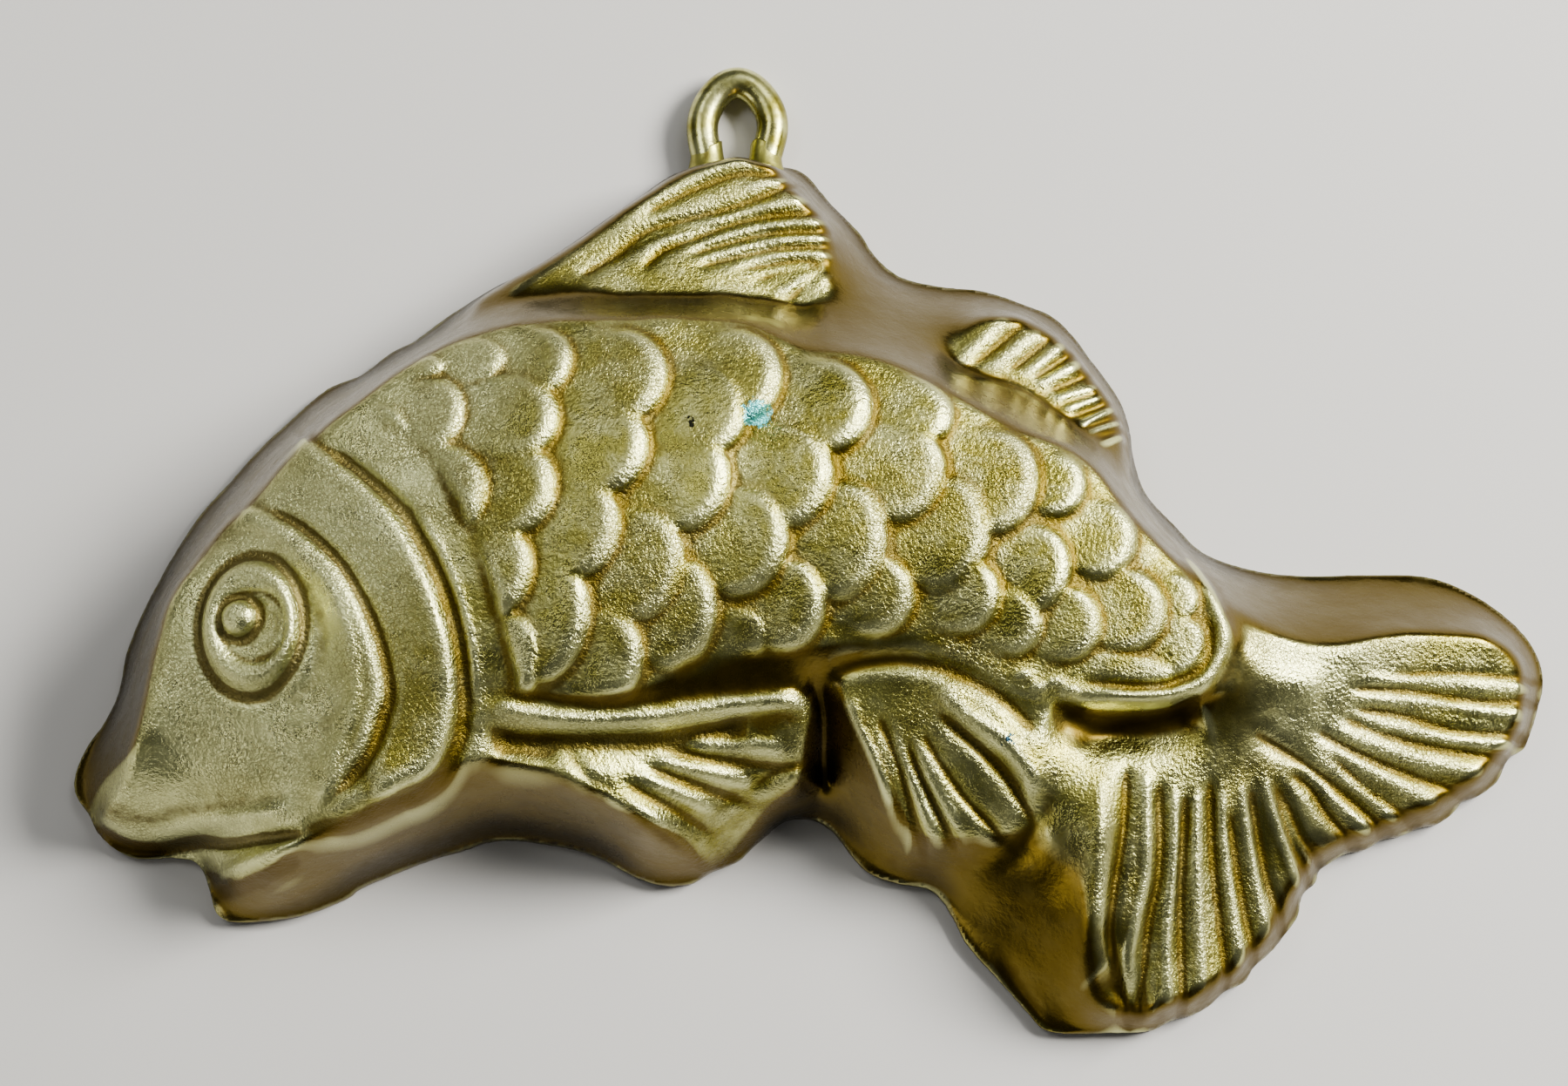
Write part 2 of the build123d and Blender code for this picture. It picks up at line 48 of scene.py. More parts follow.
# ---- outline of the rim on the table plane --------------------------------------------------
RIM = [
    (-127.4, -29), (-126.2, -21.7), (-124.4, -16.3), (-121.7, -10.1), (-118.7, -4.3), (-115.9, 0.6),
    (-112.8, 5.3), (-108.1, 10.6), (-102.5, 17.2), (-96.3, 23.2), (-89.9, 28.8), (-83.8, 31.3), (-78.5, 35.5),
    (-74.2, 37.7), (-69.1, 41.7), (-64, 45.1), (-59.2, 48.1), (-55, 50.2), (-50.6, 52.7), (-46.1, 55.7),
    (-41.6, 58.9), (-36.9, 62.4), (-32.2, 65.6), (-27.4, 69.2), (-22.6, 71.4), (-18.4, 72.4), (-12.9, 73.5),
    (-7.7, 72.1), (-5.2, 71.6), (-2.6, 71.2), (-0.2, 69.6), (2.1, 66.7), (4.5, 63.8), (7, 61.3), (9.8, 58.2),
    (11.8, 54.8), (14.2, 52.2), (17.5, 50), (22.4, 48.7), (27.2, 48), (31.1, 47.7), (34.9, 46.8), (40.2, 44.8),
    (45.4, 42.6), (49.6, 38.4), (52.6, 34), (55.7, 29.8), (58.2, 25.4), (59.6, 20.6), (60.2, 15.2),
    (62.5, 8.4), (67.6, 2.6), (73, -2.7), (81.7, -5.8), (90.2, -6.9), (103.2, -6.8), (114, -7.1),
    (120.6, -9.4), (126.9, -13.3), (131.9, -18.1), (134.3, -22.5), (135, -26.9), (134, -31.3), (132.5, -35.6),
    (131.1, -39), (128, -41.1), (125.8, -45.2), (122.6, -47.7), (119.2, -49), (117.5, -51.1), (114.8, -52.9),
    (111.2, -53.7), (108.3, -55), (104.4, -55.9), (101.7, -57.5), (97.5, -58.5), (94.9, -60.1), (92.6, -61.7),
    (92.1, -63.6), (89.5, -66.1), (88.6, -69.9), (86.1, -73.3), (83.6, -76.3), (80.4, -79.1), (78.6, -81.8),
    (75, -83.5), (72.1, -86.1), (68.8, -87.8), (65.3, -88.7), (61.4, -90.5), (52.7, -90.9), (45.4, -90.9),
    (42, -90), (39.5, -87.3), (34.8, -82), (28.5, -74.9), (26.2, -70.6), (24.1, -67.1), (21.6, -64.9),
    (15.5, -63.7), (10.6, -61.8), (7.3, -58.5), (4.4, -54.6), (1.2, -52.4), (-2, -51.9), (-4.9, -52.4),
    (-8.1, -55), (-11.3, -57.8), (-12.7, -59.3), (-16, -60.9), (-18.4, -61.8), (-20.3, -63.1), (-22.1, -63.9),
    (-26.4, -64.2), (-30.1, -63.4), (-33.9, -61.7), (-38.1, -59.4), (-42.9, -57.7), (-48, -56.7),
    (-54.1, -55.9), (-58.9, -56.2), (-63.5, -57.7), (-69, -59.3), (-76.5, -62.2), (-82.2, -64.7),
    (-84.8, -66.6), (-92.7, -69.6), (-100.2, -70.7), (-105.8, -70.7), (-108.2, -69.3), (-109.2, -66.5),
    (-109.9, -64.2), (-110.8, -61.8), (-112.6, -59.8), (-116.5, -59.1), (-123.5, -59.1), (-126.9, -57.7),
    (-130.2, -54.8), (-132.2, -51.1), (-134.3, -48.2), (-135, -45), (-133.1, -39.2), (-129.9, -34.5),
]

# ---- outline of the raised head and body, crowned inside ------------------------------------
BODY = [
    (-92.1, 9.3), (-88.8, 12.1), (-85.2, 15.2), (-80.7, 18.3), (-71.4, 25.6), (-64.5, 29.2), (-57.5, 31.2),
    (-51.3, 32.4), (-40.7, 32.9), (-28.8, 33.3), (-20.3, 33.2), (-11.1, 32.2), (-4.9, 29.1), (-1, 26.8),
    (4.4, 27), (10.6, 25.9), (16.7, 23.8), (22.7, 20.8), (31.5, 15.7), (36, 13), (41.4, 11.6), (47.3, 9),
    (51, 5.7), (54.5, 1), (58.3, -3.5), (63.7, -8.8), (67.9, -12.4), (71.5, -16), (73.3, -20.3), (73.4, -25.5),
    (71, -30.1), (66.1, -33.2), (56.5, -33.7), (47.9, -33.4), (41, -29.2), (34.8, -26.8), (27.2, -23.7),
    (19.5, -23), (10.4, -23.6), (2.8, -24.8), (-4.9, -26.4), (-12.5, -26.4), (-17.8, -27), (-21.6, -27.8),
    (-25.7, -30.5), (-30.1, -32.9), (-36.7, -34.5), (-46.7, -33.8), (-54.1, -34.3), (-35.1, -51.5),
    (-39.4, -49.7), (-42.6, -48.3), (-46, -46.6), (-50.5, -45.8), (-55, -44.7), (-58.9, -44.9), (-64.4, -46.7),
    (-69.2, -50.4), (-74.9, -52.5), (-79.6, -54.7), (-84.1, -56.4), (-90.8, -59.4), (-95.7, -63.1),
    (-99.6, -64), (-103.6, -65.1), (-127.3, -52.9), (-124.7, -50.7), (-121.8, -47.6), (-119.9, -41.1),
    (-118.5, -36.7), (-117.8, -32.8), (-116.6, -25.5), (-115.4, -21.4), (-114.3, -16.4), (-111.9, -12.8),
    (-109.2, -9.2), (-105.7, -4.7), (-98.9, 1.6), (-95.3, 6.2), (-92.1, 9.3),
]

# ---- height lines: shoulders of the walls and edges of the fins, (x, y, height) --------------
HEIGHT_LINES = {
    "shoulder_head": [
        (-92.1, 9.3, 33), (-95.3, 6.2, 32), (-98.9, 1.6, 32), (-105.7, -4.7, 31), (-109.2, -9.2, 30),
        (-111.9, -12.8, 30), (-114.3, -16.4, 29), (-115.4, -21.4, 29), (-116.6, -25.5, 28),
        (-117.8, -32.8, 28), (-118.5, -36.7, 27), (-119.9, -41.1, 26), (-121.8, -47.6, 22),
        (-124.7, -50.7, 18), (-127.3, -52.9, 14),
    ],
    "shoulder_nape": [
        (-92.1, 9.3, 33), (-88.8, 12.1, 34), (-85.2, 15.2, 35), (-80.7, 18.3, 36), (-71.4, 25.6, 36),
        (-64.5, 29.2, 36),
    ],
    "shoulder_jaw": [
        (-103.6, -65.1, 15), (-99.6, -64, 19), (-95.7, -63.1, 23), (-90.8, -59.4, 27), (-84.1, -56.4, 31),
        (-79.6, -54.7, 32), (-74.9, -52.5, 33), (-69.2, -50.4, 33), (-64.4, -46.7, 33), (-58.9, -44.9, 33),
        (-55, -44.7, 33), (-50.5, -45.8, 33), (-46, -46.6, 32), (-42.6, -48.3, 31), (-39.4, -49.7, 30),
        (-35.1, -51.5, 28), (-31.4, -54.1, 26), (-27.8, -56.2, 24), (-23.9, -57.8, 19), (-20.9, -59.9, 12),
        (-19.1, -61.7, 7),
    ],
    "scale_boundary": [
        (-64.5, 29.5, 36), (-57.5, 31.2, 37), (-51.3, 32.4, 37.5), (-40.7, 32.9, 38), (-28.8, 33.3, 38),
        (-20.3, 33.2, 38), (-11.1, 32.2, 38), (-4.9, 29.1, 38), (-1, 26.8, 38), (4.4, 27, 38),
        (10.6, 25.9, 38), (16.7, 23.8, 38), (22.7, 20.8, 37.5), (31.5, 15.7, 37), (36, 13, 36.5),
        (41.4, 11.6, 36), (47.3, 9, 35), (51, 5.7, 34.5), (54.5, 1, 34), (58.3, -3.5, 33), (63.7, -8.8, 32),
        (67.9, -12.4, 31), (71.5, -16, 30.5), (73.3, -20.3, 30), (73.4, -25.5, 29.5), (71, -30.1, 29.5),
        (66.1, -33.2, 30), (56.5, -33.7, 31), (47.9, -33.4, 32), (41, -29.2, 33), (34.8, -26.8, 34.5),
        (27.2, -23.7, 35.5), (19.5, -23, 36), (10.4, -23.6, 36), (2.8, -24.8, 36.5), (-4.9, -26.4, 37),
        (-12.5, -26.4, 37), (-17.8, -27, 37), (-21.6, -27.8, 37), (-25.7, -30.5, 37), (-30.1, -32.9, 37.5),
        (-36.7, -34.5, 38), (-46.7, -33.8, 38.5), (-54.1, -34.3, 39),
    ],
    "dorsal_low": [
        (-60.6, 39.8, 22), (-52.5, 40.1, 24), (-43.1, 40.7, 25), (-35.7, 40.5, 25), (-29.2, 40.5, 25),
        (-22.3, 40.4, 25), (-15.3, 40.6, 24), (-8.4, 40.2, 23), (-4.1, 39.7, 22), (-0.9, 39.1, 21),
    ],
    "dorsal_right": [
        (-4.9, 64.4, 19.5), (-2.6, 61.6, 19.5), (0.1, 58.5, 20), (2.2, 56.2, 20), (3.1, 53.5, 20),
        (3, 50.2, 20), (2.5, 47.6, 20.5), (2, 44.7, 21), (0.9, 41.7, 21), (-0.9, 39.1, 21),
    ],
    "dorsal_up": [
        (-61.4, 41.2, 20), (-57.2, 43.9, 20), (-52.8, 46.2, 21), (-48.2, 48.8, 21), (-43.5, 51.9, 21),
        (-38.9, 55.2, 21), (-34.3, 58.7, 21), (-29.5, 61.8, 21), (-24.9, 65.3, 20), (-21.1, 67.1, 20),
        (-17.4, 67.9, 20), (-13.1, 68.9, 20), (-8.9, 67.6, 20), (-6, 67.1, 20),
    ],
    "dorsal2_low": [
        (24.5, 30.8, 20), (26.6, 29.2, 20), (30.5, 27.6, 20), (38.1, 24, 20), (45.7, 19.5, 19),
        (53.3, 15.2, 18), (57.3, 11.4, 16),
    ],
    "dorsal2_up": [
        (26.6, 32.4, 19), (31.5, 38.2, 18), (36.7, 39.1, 17), (42, 37.1, 16), (46.6, 33.8, 16),
        (49.7, 30.4, 15), (52.4, 26.8, 15), (54.2, 24.2, 15), (55.9, 21.8, 14), (57, 18.8, 14),
        (57.4, 15.9, 14), (57.4, 11.6, 15),
    ],
    "pect_top": [
        (-58.8, -36.5, 36), (-56.2, -34.3, 35.5), (-50.2, -34.7, 35), (-42.8, -35.9, 34.5),
        (-31.6, -35.9, 33.5), (-22.3, -35.1, 32.5), (-13, -33.7, 31.5), (-6.9, -33.7, 31), (-1, -34.9, 30),
    ],
    "pect_end": [
        (-1, -34.9, 30), (0, -36.7, 29), (-0.3, -38.9, 27.5), (-1.6, -42.4, 25.5), (-2.2, -45.8, 24),
        (-3.3, -48.7, 21), (-5, -50.6, 17), (-6.9, -51.7, 14), (-9.6, -54.3, 9), (-12.8, -57.4, 5),
        (-16, -59.9, 5), (-18.9, -61.7, 6),
    ],
    "pelvic": [
        (3.6, -29.8, 31), (6.6, -28.8, 32.5), (10.4, -28.2, 33), (13.8, -28.1, 33), (18.1, -28.7, 33),
        (21.6, -30.4, 33), (24.9, -31.6, 33), (28.6, -33, 32.5), (34.2, -37, 31.5), (38.6, -41.9, 30),
        (40.7, -47.4, 27.5), (41.7, -51.2, 25.5), (38.5, -54.8, 23), (33.8, -55.9, 22), (28.2, -56.9, 21),
        (21.2, -57.3, 20), (19.3, -56.2, 20), (16.8, -53.2, 21), (14.9, -50.9, 22.5), (12.4, -47.1, 25),
        (10.5, -43.5, 26.5), (8.2, -38.6, 28.5), (6.2, -34.3, 30), (3.6, -29.8, 31),
    ],
    "crease": [
        (1, -30.9, 28), (1.7, -35.4, 22), (1.9, -40.8, 15), (2.2, -46.4, 9),
    ],
    "tail": [
        (71.5, -16.3, 30), (75.7, -17.8, 27), (82.1, -21.2, 25), (88.4, -23.1, 24), (94.9, -23.4, 23),
        (101.4, -21.6, 22), (107.9, -20.5, 20.5), (116.7, -20.2, 18.5), (122.5, -20.8, 17), (127.4, -23.2, 14),
        (129.5, -27.9, 12.5), (129.4, -32.1, 12), (128.1, -36.4, 11.5), (126.5, -39.9, 11),
        (123.8, -42.1, 10.5), (122.2, -44.9, 10), (119, -47.6, 10), (115, -48.9, 10), (112.5, -51.6, 10),
        (108.5, -52.8, 10), (105, -54.4, 10), (100.6, -56, 10), (97.9, -56.9, 10), (94.2, -58.2, 10),
        (90.7, -59.9, 10), (89.4, -62.3, 10), (88.9, -64.1, 10), (86.1, -67, 10), (85.1, -70.1, 10),
        (83.5, -72.9, 10), (80.9, -76.3, 10), (77.7, -78.7, 10), (75.6, -81.3, 10), (73.2, -82.9, 10.5),
        (70.3, -84.5, 11), (67, -86.2, 11.5), (63.6, -87, 12), (60.1, -88.4, 12), (56.4, -87.9, 12),
        (52.7, -87, 12), (50.5, -84.3, 14), (49.4, -79.9, 17), (49.1, -74.7, 20), (49.1, -69.4, 22),
        (49.5, -62, 24), (50.1, -56.5, 25.5), (50.2, -51.7, 26), (49, -47.1, 26),
    ],
    "tail_root": [
        (49, -47.1, 26), (48.3, -42.9, 26), (51.1, -39.8, 25), (57, -39.2, 24.5), (63.1, -38.9, 25),
        (69.2, -36.2, 26), (73.8, -33, 27), (76.2, -26.8, 27.5), (75.7, -17.8, 27),
    ],
}

# ---- outlines of the two lower fins' tops and the snout --------------------------------------
PECTORAL = [(-56.6, -34.2), (-42.9, -35.2), (-23.2, -34.7), (-1, -32.9), (0.7, -35.2), (-0.2, -40.3), (-1.7, -48.1), (-7.2, -52.1), (-18.4, -62.3), (-22.6, -57.9), (-29, -54.5), (-36.5, -50.5), (-43.8, -45.9), (-50.6, -44.3), (-57.2, -40.9)]
PELVIC = [(5.6, -31.2), (12, -29.8), (19.6, -29.9), (27.3, -32.2), (33.4, -36.4), (38.8, -42.6), (41.2, -49.2), (40.6, -53.5), (36.1, -55.7), (30.7, -57.1), (24.6, -57.6), (19.2, -57), (15.9, -52.4), (10.5, -43.6)]
SNOUT = [(-132.3, -50.5), (-121, -41.8), (-106.4, -39.2), (-92, -41.3), (-87.3, -48.9), (-89.8, -56.3), (-104.5, -55.9), (-123.9, -57)]
# ---- pressed lines: (height, width to the left, width to the right, profile, points) ----------
STROKES = [
    (-1.1, 0.9, 0.9, "crisp", [(-31.2, 56.7), (-25.7, 59.8), (-20.9, 62.3), (-12.9, 65.2), (-6, 65), (-5, 65.3)]),
    (-1.25, 0.9, 0.9, "crisp", [(-42.3, 44.5), (-37.1, 48.1), (-29.6, 53.9), (-20.8, 56.7), (-12.9, 59.2), (-6.5, 62), (-3.6, 63.7), (-2.6, 65.2)]),
    (-1.3, 0.9, 0.9, "crisp", [(-30.6, 46.1), (-27.1, 49.8), (-20.8, 52.6), (-12.9, 55.8), (-4.9, 57.4), (0.9, 57.7), (1.9, 58.3)]),
    (-1.3, 0.8, 0.8, "crisp", [(-22.4, 49.1), (-16, 51.3), (-9.7, 53.1), (-4.1, 54.1), (2.8, 54.4), (3.8, 54.9)]),
    (-1.3, 0.8, 0.8, "crisp", [(-20.7, 46.7), (-12.8, 49.1), (-4.9, 50.9), (3.1, 51.5), (4.1, 51.9)]),
    (-1.3, 0.8, 0.8, "crisp", [(-12.8, 46.4), (-6.5, 47.8), (-1.7, 48.6), (2.8, 48.3), (3.8, 48.4)]),
    (-1.1, 0.8, 0.8, "crisp", [(-10.9, 44), (-4.9, 46.3), (-0.1, 47.3), (2.1, 47), (3.1, 46.9)]),
    (-0.9, 0.7, 0.7, "crisp", [(-4.1, 40.6), (-1.7, 43.3), (1.2, 45.7), (1.9, 46.4)]),
    (-0.6, 0.7, 0.7, "crisp", [(-36.6, 47.7), (-27.2, 53.2), (-17.6, 55.2)]),
    (0.5, 1.6, 1.6, "round", [(-55.6, 41.1), (-46.2, 47.2), (-36.8, 53.4), (-27.3, 60.2), (-17.7, 66.3), (-11, 67.8)]),
    (0.55, 0.9, 0.9, "round", [(-11.3, 62.5), (-4.4, 64.8)]),
    (0.55, 0.9, 0.9, "round", [(-9.3, 58.6), (-0.4, 60.9)]),
    (0.55, 0.9, 0.9, "round", [(-8.1, 55.2), (2.2, 56.3)]),
    (0.55, 0.9, 0.9, "round", [(-8.1, 52.2), (2.8, 53.1)]),
    (0.55, 0.9, 0.9, "round", [(-8.1, 49.4), (2.5, 49.9)]),
    (0.55, 0.9, 0.9, "round", [(-7.3, 46.1), (1.2, 48.1)]),
    (0.55, 0.9, 0.9, "round", [(-6.5, 41.7), (0.5, 45.3)]),
    (0.5, 2.5, 1.4, "round", [(-12.6, 34.1), (-8, 34.1), (-4.1, 32.4)]),
    (0.75, 1.8, 1.8, "round", [(26.5, 29.6), (36.5, 39.1)]),
    (0.75, 1.5, 1.5, "round", [(32.6, 28.3), (42.1, 36.5)]),
    (0.75, 1, 1, "round", [(39.8, 27.9), (46.8, 34.3)]),
    (0.75, 1, 1, "round", [(41.7, 25.9), (49.9, 30.9)]),
    (0.75, 0.9, 0.9, "round", [(44.7, 22.9), (52.8, 25.9)]),
    (0.75, 0.8, 0.8, "round", [(46.3, 21.3), (53.3, 24.3)]),
    (0.75, 0.8, 0.8, "round", [(49.2, 18.1), (55.9, 22.3)]),
    (0.75, 0.7, 0.7, "round", [(50.8, 17.2), (57.1, 19.8)]),
    (0.75, 0.7, 0.7, "round", [(53.3, 14.6), (57.6, 17.3)]),
    (-1, 0.7, 0.7, "crisp", [(29.6, 29), (39.2, 37.7)]),
    (-1, 0.7, 0.7, "crisp", [(36.2, 28.1), (44.4, 35.3)]),
    (-1, 0.7, 0.7, "crisp", [(40.8, 26.9), (48.3, 32.5)]),
    (-1, 0.7, 0.7, "crisp", [(43.2, 24.4), (51.3, 28.4)]),
    (-1, 0.7, 0.7, "crisp", [(45.5, 22.1), (53, 25.1)]),
    (-1, 0.7, 0.7, "crisp", [(47.7, 19.7), (54.6, 23.2)]),
    (-1, 0.7, 0.7, "crisp", [(50, 17.6), (56.5, 21)]),
    (-1, 0.7, 0.7, "crisp", [(52, 15.9), (57.3, 18.5)]),
    (-0.6, 1.2, 1.2, "round", [(24.3, 27.7), (32.4, 26.8), (39.6, 25.3), (45.1, 21), (49.6, 15.7), (52.1, 12.1)]),
    (2.1, 1.8, 1.4, "round", [(-55.7, -36), (-50.2, -37.1), (-42.8, -38.1), (-31.6, -38), (-22.3, -36.8), (-13, -35.3), (-4.1, -34.6), (-0.9, -35)]),
    (-2.6, 1.3, 4.6, "round", [(-57.2, -39.6), (-52.1, -40.9), (-44.5, -41.4), (-35.4, -41.3), (-26.3, -40.6), (-17.9, -39.1), (-11.3, -37.5)]),
    (-1.6, 2.2, 3, "round", [(-56.6, -41.4), (-50.5, -42.5), (-44.5, -42.7)]),
    (1.5, 1.5, 1.7, "round", [(-22.4, -41.3), (-15.7, -41.5), (-4.6, -41.9)]),
    (1.4, 1.3, 1.5, "round", [(-28, -43.9), (-20.3, -45.7), (-10.2, -47.8)]),
    (1.3, 1.3, 1.4, "round", [(-30.3, -47), (-23.4, -49.8), (-16.9, -52.3)]),
    (1.2, 1.3, 1.4, "round", [(-36.4, -50.3), (-31, -53), (-25.3, -55.7)]),
    (-1, 0.8, 0.8, "crisp", [(-24.8, -42.7), (-15.7, -43.8), (-4.1, -44.9), (-1, -44.9)]),
    (-1, 0.8, 0.8, "crisp", [(-29.1, -45.5), (-21.9, -47.7), (-12.4, -50.3), (-9.4, -51.2)]),
    (-1, 0.8, 0.8, "crisp", [(-33.1, -48.3), (-26.5, -51.5), (-19.5, -55), (-16.9, -56.2)]),
    (-0.8, 0.8, 0.8, "crisp", [(-37, -48.4), (-32.5, -52.2), (-25.1, -57.7), (-22.8, -59.3)]),
    (-0.7, 1, 1, "round", [(-42.3, -44.1), (-39.3, -47.8), (-36.4, -49.1)]),
    (-0.8, 0.8, 0.8, "crisp", [(-10.8, -48.3), (-7.2, -46.2), (-2.4, -44.6), (0.5, -42.9)]),
    (0.5, 1.5, 1.5, "round", [(-18.8, -55.6), (-12.7, -51), (-4.9, -48.4)]),
    (1.7, 2, 1.6, "round", [(22.4, -32.5), (27.3, -37.2), (33.5, -41.4), (38.4, -47), (39.7, -50.6)]),
    (-1.9, 1, 1.1, "crisp", [(23, -36.8), (30.1, -42.8), (34.8, -47.6), (37.7, -52), (39.3, -54.6)]),
    (-1.8, 1, 1, "crisp", [(19.4, -39.7), (22.8, -45), (27.5, -51.2), (32.2, -55.6), (34.5, -57.7)]),
    (-1.8, 1, 1, "crisp", [(16.7, -40.8), (19.8, -47.9), (24.6, -57), (26.1, -59.4)]),
    (-1.8, 1, 1, "crisp", [(11.7, -36.7), (15.1, -43.8), (19.5, -57.1), (20.6, -59.6)]),
    (-1.2, 0.8, 0.8, "crisp", [(7.7, -35.6), (11.4, -42.3), (15.9, -52.4), (17.1, -55)]),
    (1.2, 1, 1.3, "round", [(6, -33.4), (10.5, -41.9), (14.7, -51.6)]),
    (0.7, 1.2, 1.2, "round", [(19.7, -40.9), (24.4, -48.2), (29.9, -54.9)]),
    (0.8, 1.2, 1.2, "round", [(17.9, -40.9), (21.3, -47.9), (26.4, -55.9)]),
    (0.8, 1.2, 1.2, "round", [(13.9, -39.4), (17.6, -47.4), (21.5, -55.8)]),
    (-1.5, 1.8, 1.4, "round", [(3.6, -29.3), (10.4, -27.7), (18.1, -27.7), (26.5, -30.2), (33.4, -34), (39.6, -39.6)]),
    (-0.5, 1.6, 1.6, "round", [(0.7, -31.1), (2, -39.8), (2.7, -47.2)]),
    (-0.9, 0.7, 0.7, "crisp", [(103.7, -27.9), (116.9, -27.2), (130.1, -27.6), (136.1, -26.8)]),
    (-1.1, 0.8, 0.8, "crisp", [(96.7, -30.4), (108.1, -30.7), (121.3, -32.2), (132.4, -31.3), (137.3, -31)]),
    (-1.2, 0.8, 0.9, "crisp", [(97.3, -33.9), (106.1, -34.8), (117.1, -37.4), (131.2, -37.7), (135.7, -38.1)]),
    (-1.2, 0.8, 0.9, "crisp", [(95.2, -35.6), (106.2, -38.9), (114.9, -40.7), (127, -41.9), (131.6, -42.4)]),
    (-1.4, 0.9, 1, "crisp", [(90.4, -37.9), (99.6, -42.2), (108.5, -45.4), (119.4, -48.2), (124, -49.3)]),
    (-1.3, 0.9, 1, "crisp", [(93.6, -42.3), (100.8, -48.3), (109.1, -52.9), (113.4, -54.7)]),
    (-1.8, 1.2, 1.4, "crisp", [(78.9, -38.6), (85.5, -42.1), (90.4, -44.9), (96.3, -49.3), (104.7, -55.3), (108.4, -57.6)]),
    (-1.7, 1, 1.2, "crisp", [(85.6, -45.1), (89.7, -47.9), (93.1, -52.4), (98.4, -57), (101.9, -59.6)]),
    (-1.4, 1, 1, "crisp", [(83.2, -47.4), (85.7, -51.1), (88.3, -56.3), (92.2, -60.4), (94.9, -63.4)]),
    (0.6, 1.3, 1.3, "round", [(98.2, -29.3), (111.2, -28.9), (130, -29.4)]),
    (0.6, 1.3, 1.3, "round", [(98.2, -32.3), (111.3, -32.4), (130.7, -34.6)]),
    (0.6, 1.3, 1.3, "round", [(98.3, -36.4), (111.4, -38.3), (130.1, -39.6)]),
    (0.6, 1.3, 1.3, "round", [(93.5, -38.1), (108.2, -42.2), (122.9, -45)]),
    (0.6, 1.3, 1.3, "round", [(91.9, -40.5), (103.5, -45.8), (113.7, -50.7)]),
    (0.6, 1.3, 1.3, "round", [(88.7, -42.4), (97, -46.4), (106.2, -52.5)]),
    (0.6, 1.3, 1.3, "round", [(87.1, -43.5), (93.8, -48.6), (101.7, -55.7)]),
    (-0.3, 0.4, 0.4, "crisp", [(104.7, -29.6), (117.8, -28.8), (127.7, -29.7)]),
    (-0.3, 0.4, 0.4, "crisp", [(106.4, -32.8), (117.9, -34.6), (127.9, -35.8)]),
    (1.2, 3.8, 3.8, "round", [(72.2, -20.2), (77.1, -24.4), (83.6, -29.4), (91.7, -30.6)]),
    (0.7, 2, 1.6, "round", [(51.4, -47), (51.1, -60.5), (51, -73.9)]),
    (-1.8, 1, 1.2, "crisp", [(56, -45.1), (55.4, -56.2), (53.6, -67.9), (53.2, -74.6), (56.5, -87.4), (58, -91)]),
    (1, 1, 1, "round", [(59.4, -45.9), (59.4, -63), (57.5, -72.3), (56.2, -79.2), (56.8, -85.2)]),
    (-1.5, 0.9, 0.9, "crisp", [(61.9, -48), (62, -63.1), (60.2, -72.2), (59.1, -85.8), (59.3, -89.5)]),
    (0.9, 0.9, 0.9, "round", [(64.6, -49), (64.7, -60.6), (63.4, -74.4), (63.6, -86.1)]),
    (-1.6, 0.9, 1, "crisp", [(66.7, -50.1), (66, -65.1), (66.7, -86.5), (67.4, -90.3)]),
    (0.9, 1, 1, "round", [(68.6, -49.3), (68.7, -60.5), (70, -83.7)]),
    (-1.6, 0.9, 1.1, "crisp", [(71.1, -47), (72.1, -62.8), (74.9, -83.1), (75.6, -86.9)]),
    (0.8, 1, 1, "round", [(73, -48.5), (74.6, -62.8), (77.2, -79.4)]),
    (-1.4, 0.9, 1, "crisp", [(74.4, -52.2), (76.9, -65.7), (79.9, -77.4), (81.4, -81.1)]),
    (0.8, 1, 1, "round", [(76.7, -47.6), (78.9, -59.6), (81.9, -74)]),
    (-1.4, 1.1, 1.3, "crisp", [(78.5, -48.3), (81.6, -62.6), (85.3, -72.3), (86.9, -76)]),
    (0.7, 1, 1.1, "round", [(80.7, -46), (84.6, -56.4), (88.3, -66.6)]),
    (-1, 0.8, 0.8, "crisp", [(82.7, -48.2), (86.2, -57.1), (89.9, -63.5), (91.9, -67)]),
    (-2.2, 3, 3, "round", [(51.2, -80.6), (54.9, -84.3), (61.3, -87.3)]),
    (-1.2, 1.6, 1.6, "round", [(34.6, -77.5), (38.5, -84.5), (42.1, -89.9)]),
    (-4.6, 1.6, 5.2, "round", [(41.9, -35.1), (47.3, -36.5), (54.4, -37.1), (62.9, -36.4), (69.1, -34)]),
    (-1.2, 3.5, 3.5, "round", [(17.2, -59.8), (24.9, -60.9), (34, -60.6), (41.4, -55.8)]),
    (-1.2, 2.5, 2.5, "round", [(35.4, -59.2), (39.8, -54.3), (42.3, -49.2)]),
    (1.5, 1.6, 1.2, "round", [(67.4, -6.7), (71.1, -16.3), (72.5, -23.3), (69.7, -29.9), (64.2, -32.8), (56.5, -33.6), (50.6, -33.3)]),
    (-0.7, 0.8, 0.8, "round", [(47.2, -31), (56.4, -31.7), (64.2, -30.8), (68.6, -26.8), (70, -21)]),
    (0.8, 0.9, 0.9, "round", [(36.4, -30), (38, -30)]),
    (0.8, 0.9, 0.9, "round", [(39, -32), (40.6, -32)]),
    (0.8, 0.9, 0.9, "round", [(42.1, -31.1), (43.6, -31.1)]),
    (0.8, 0.9, 0.9, "round", [(44.6, -32.7), (46.1, -32.7)]),
    (2, 1.1, 7, "round", [(-92, 14.1), (-88.8, 10), (-81.9, 5.1), (-76, -0.8), (-72.3, -6), (-68.9, -12.1), (-66.1, -18.7), (-63.7, -26.7), (-63.2, -34.5), (-64.5, -41.6), (-66.3, -45.6), (-69.5, -48.1), (-73, -49.9), (-77.1, -51.4)]),
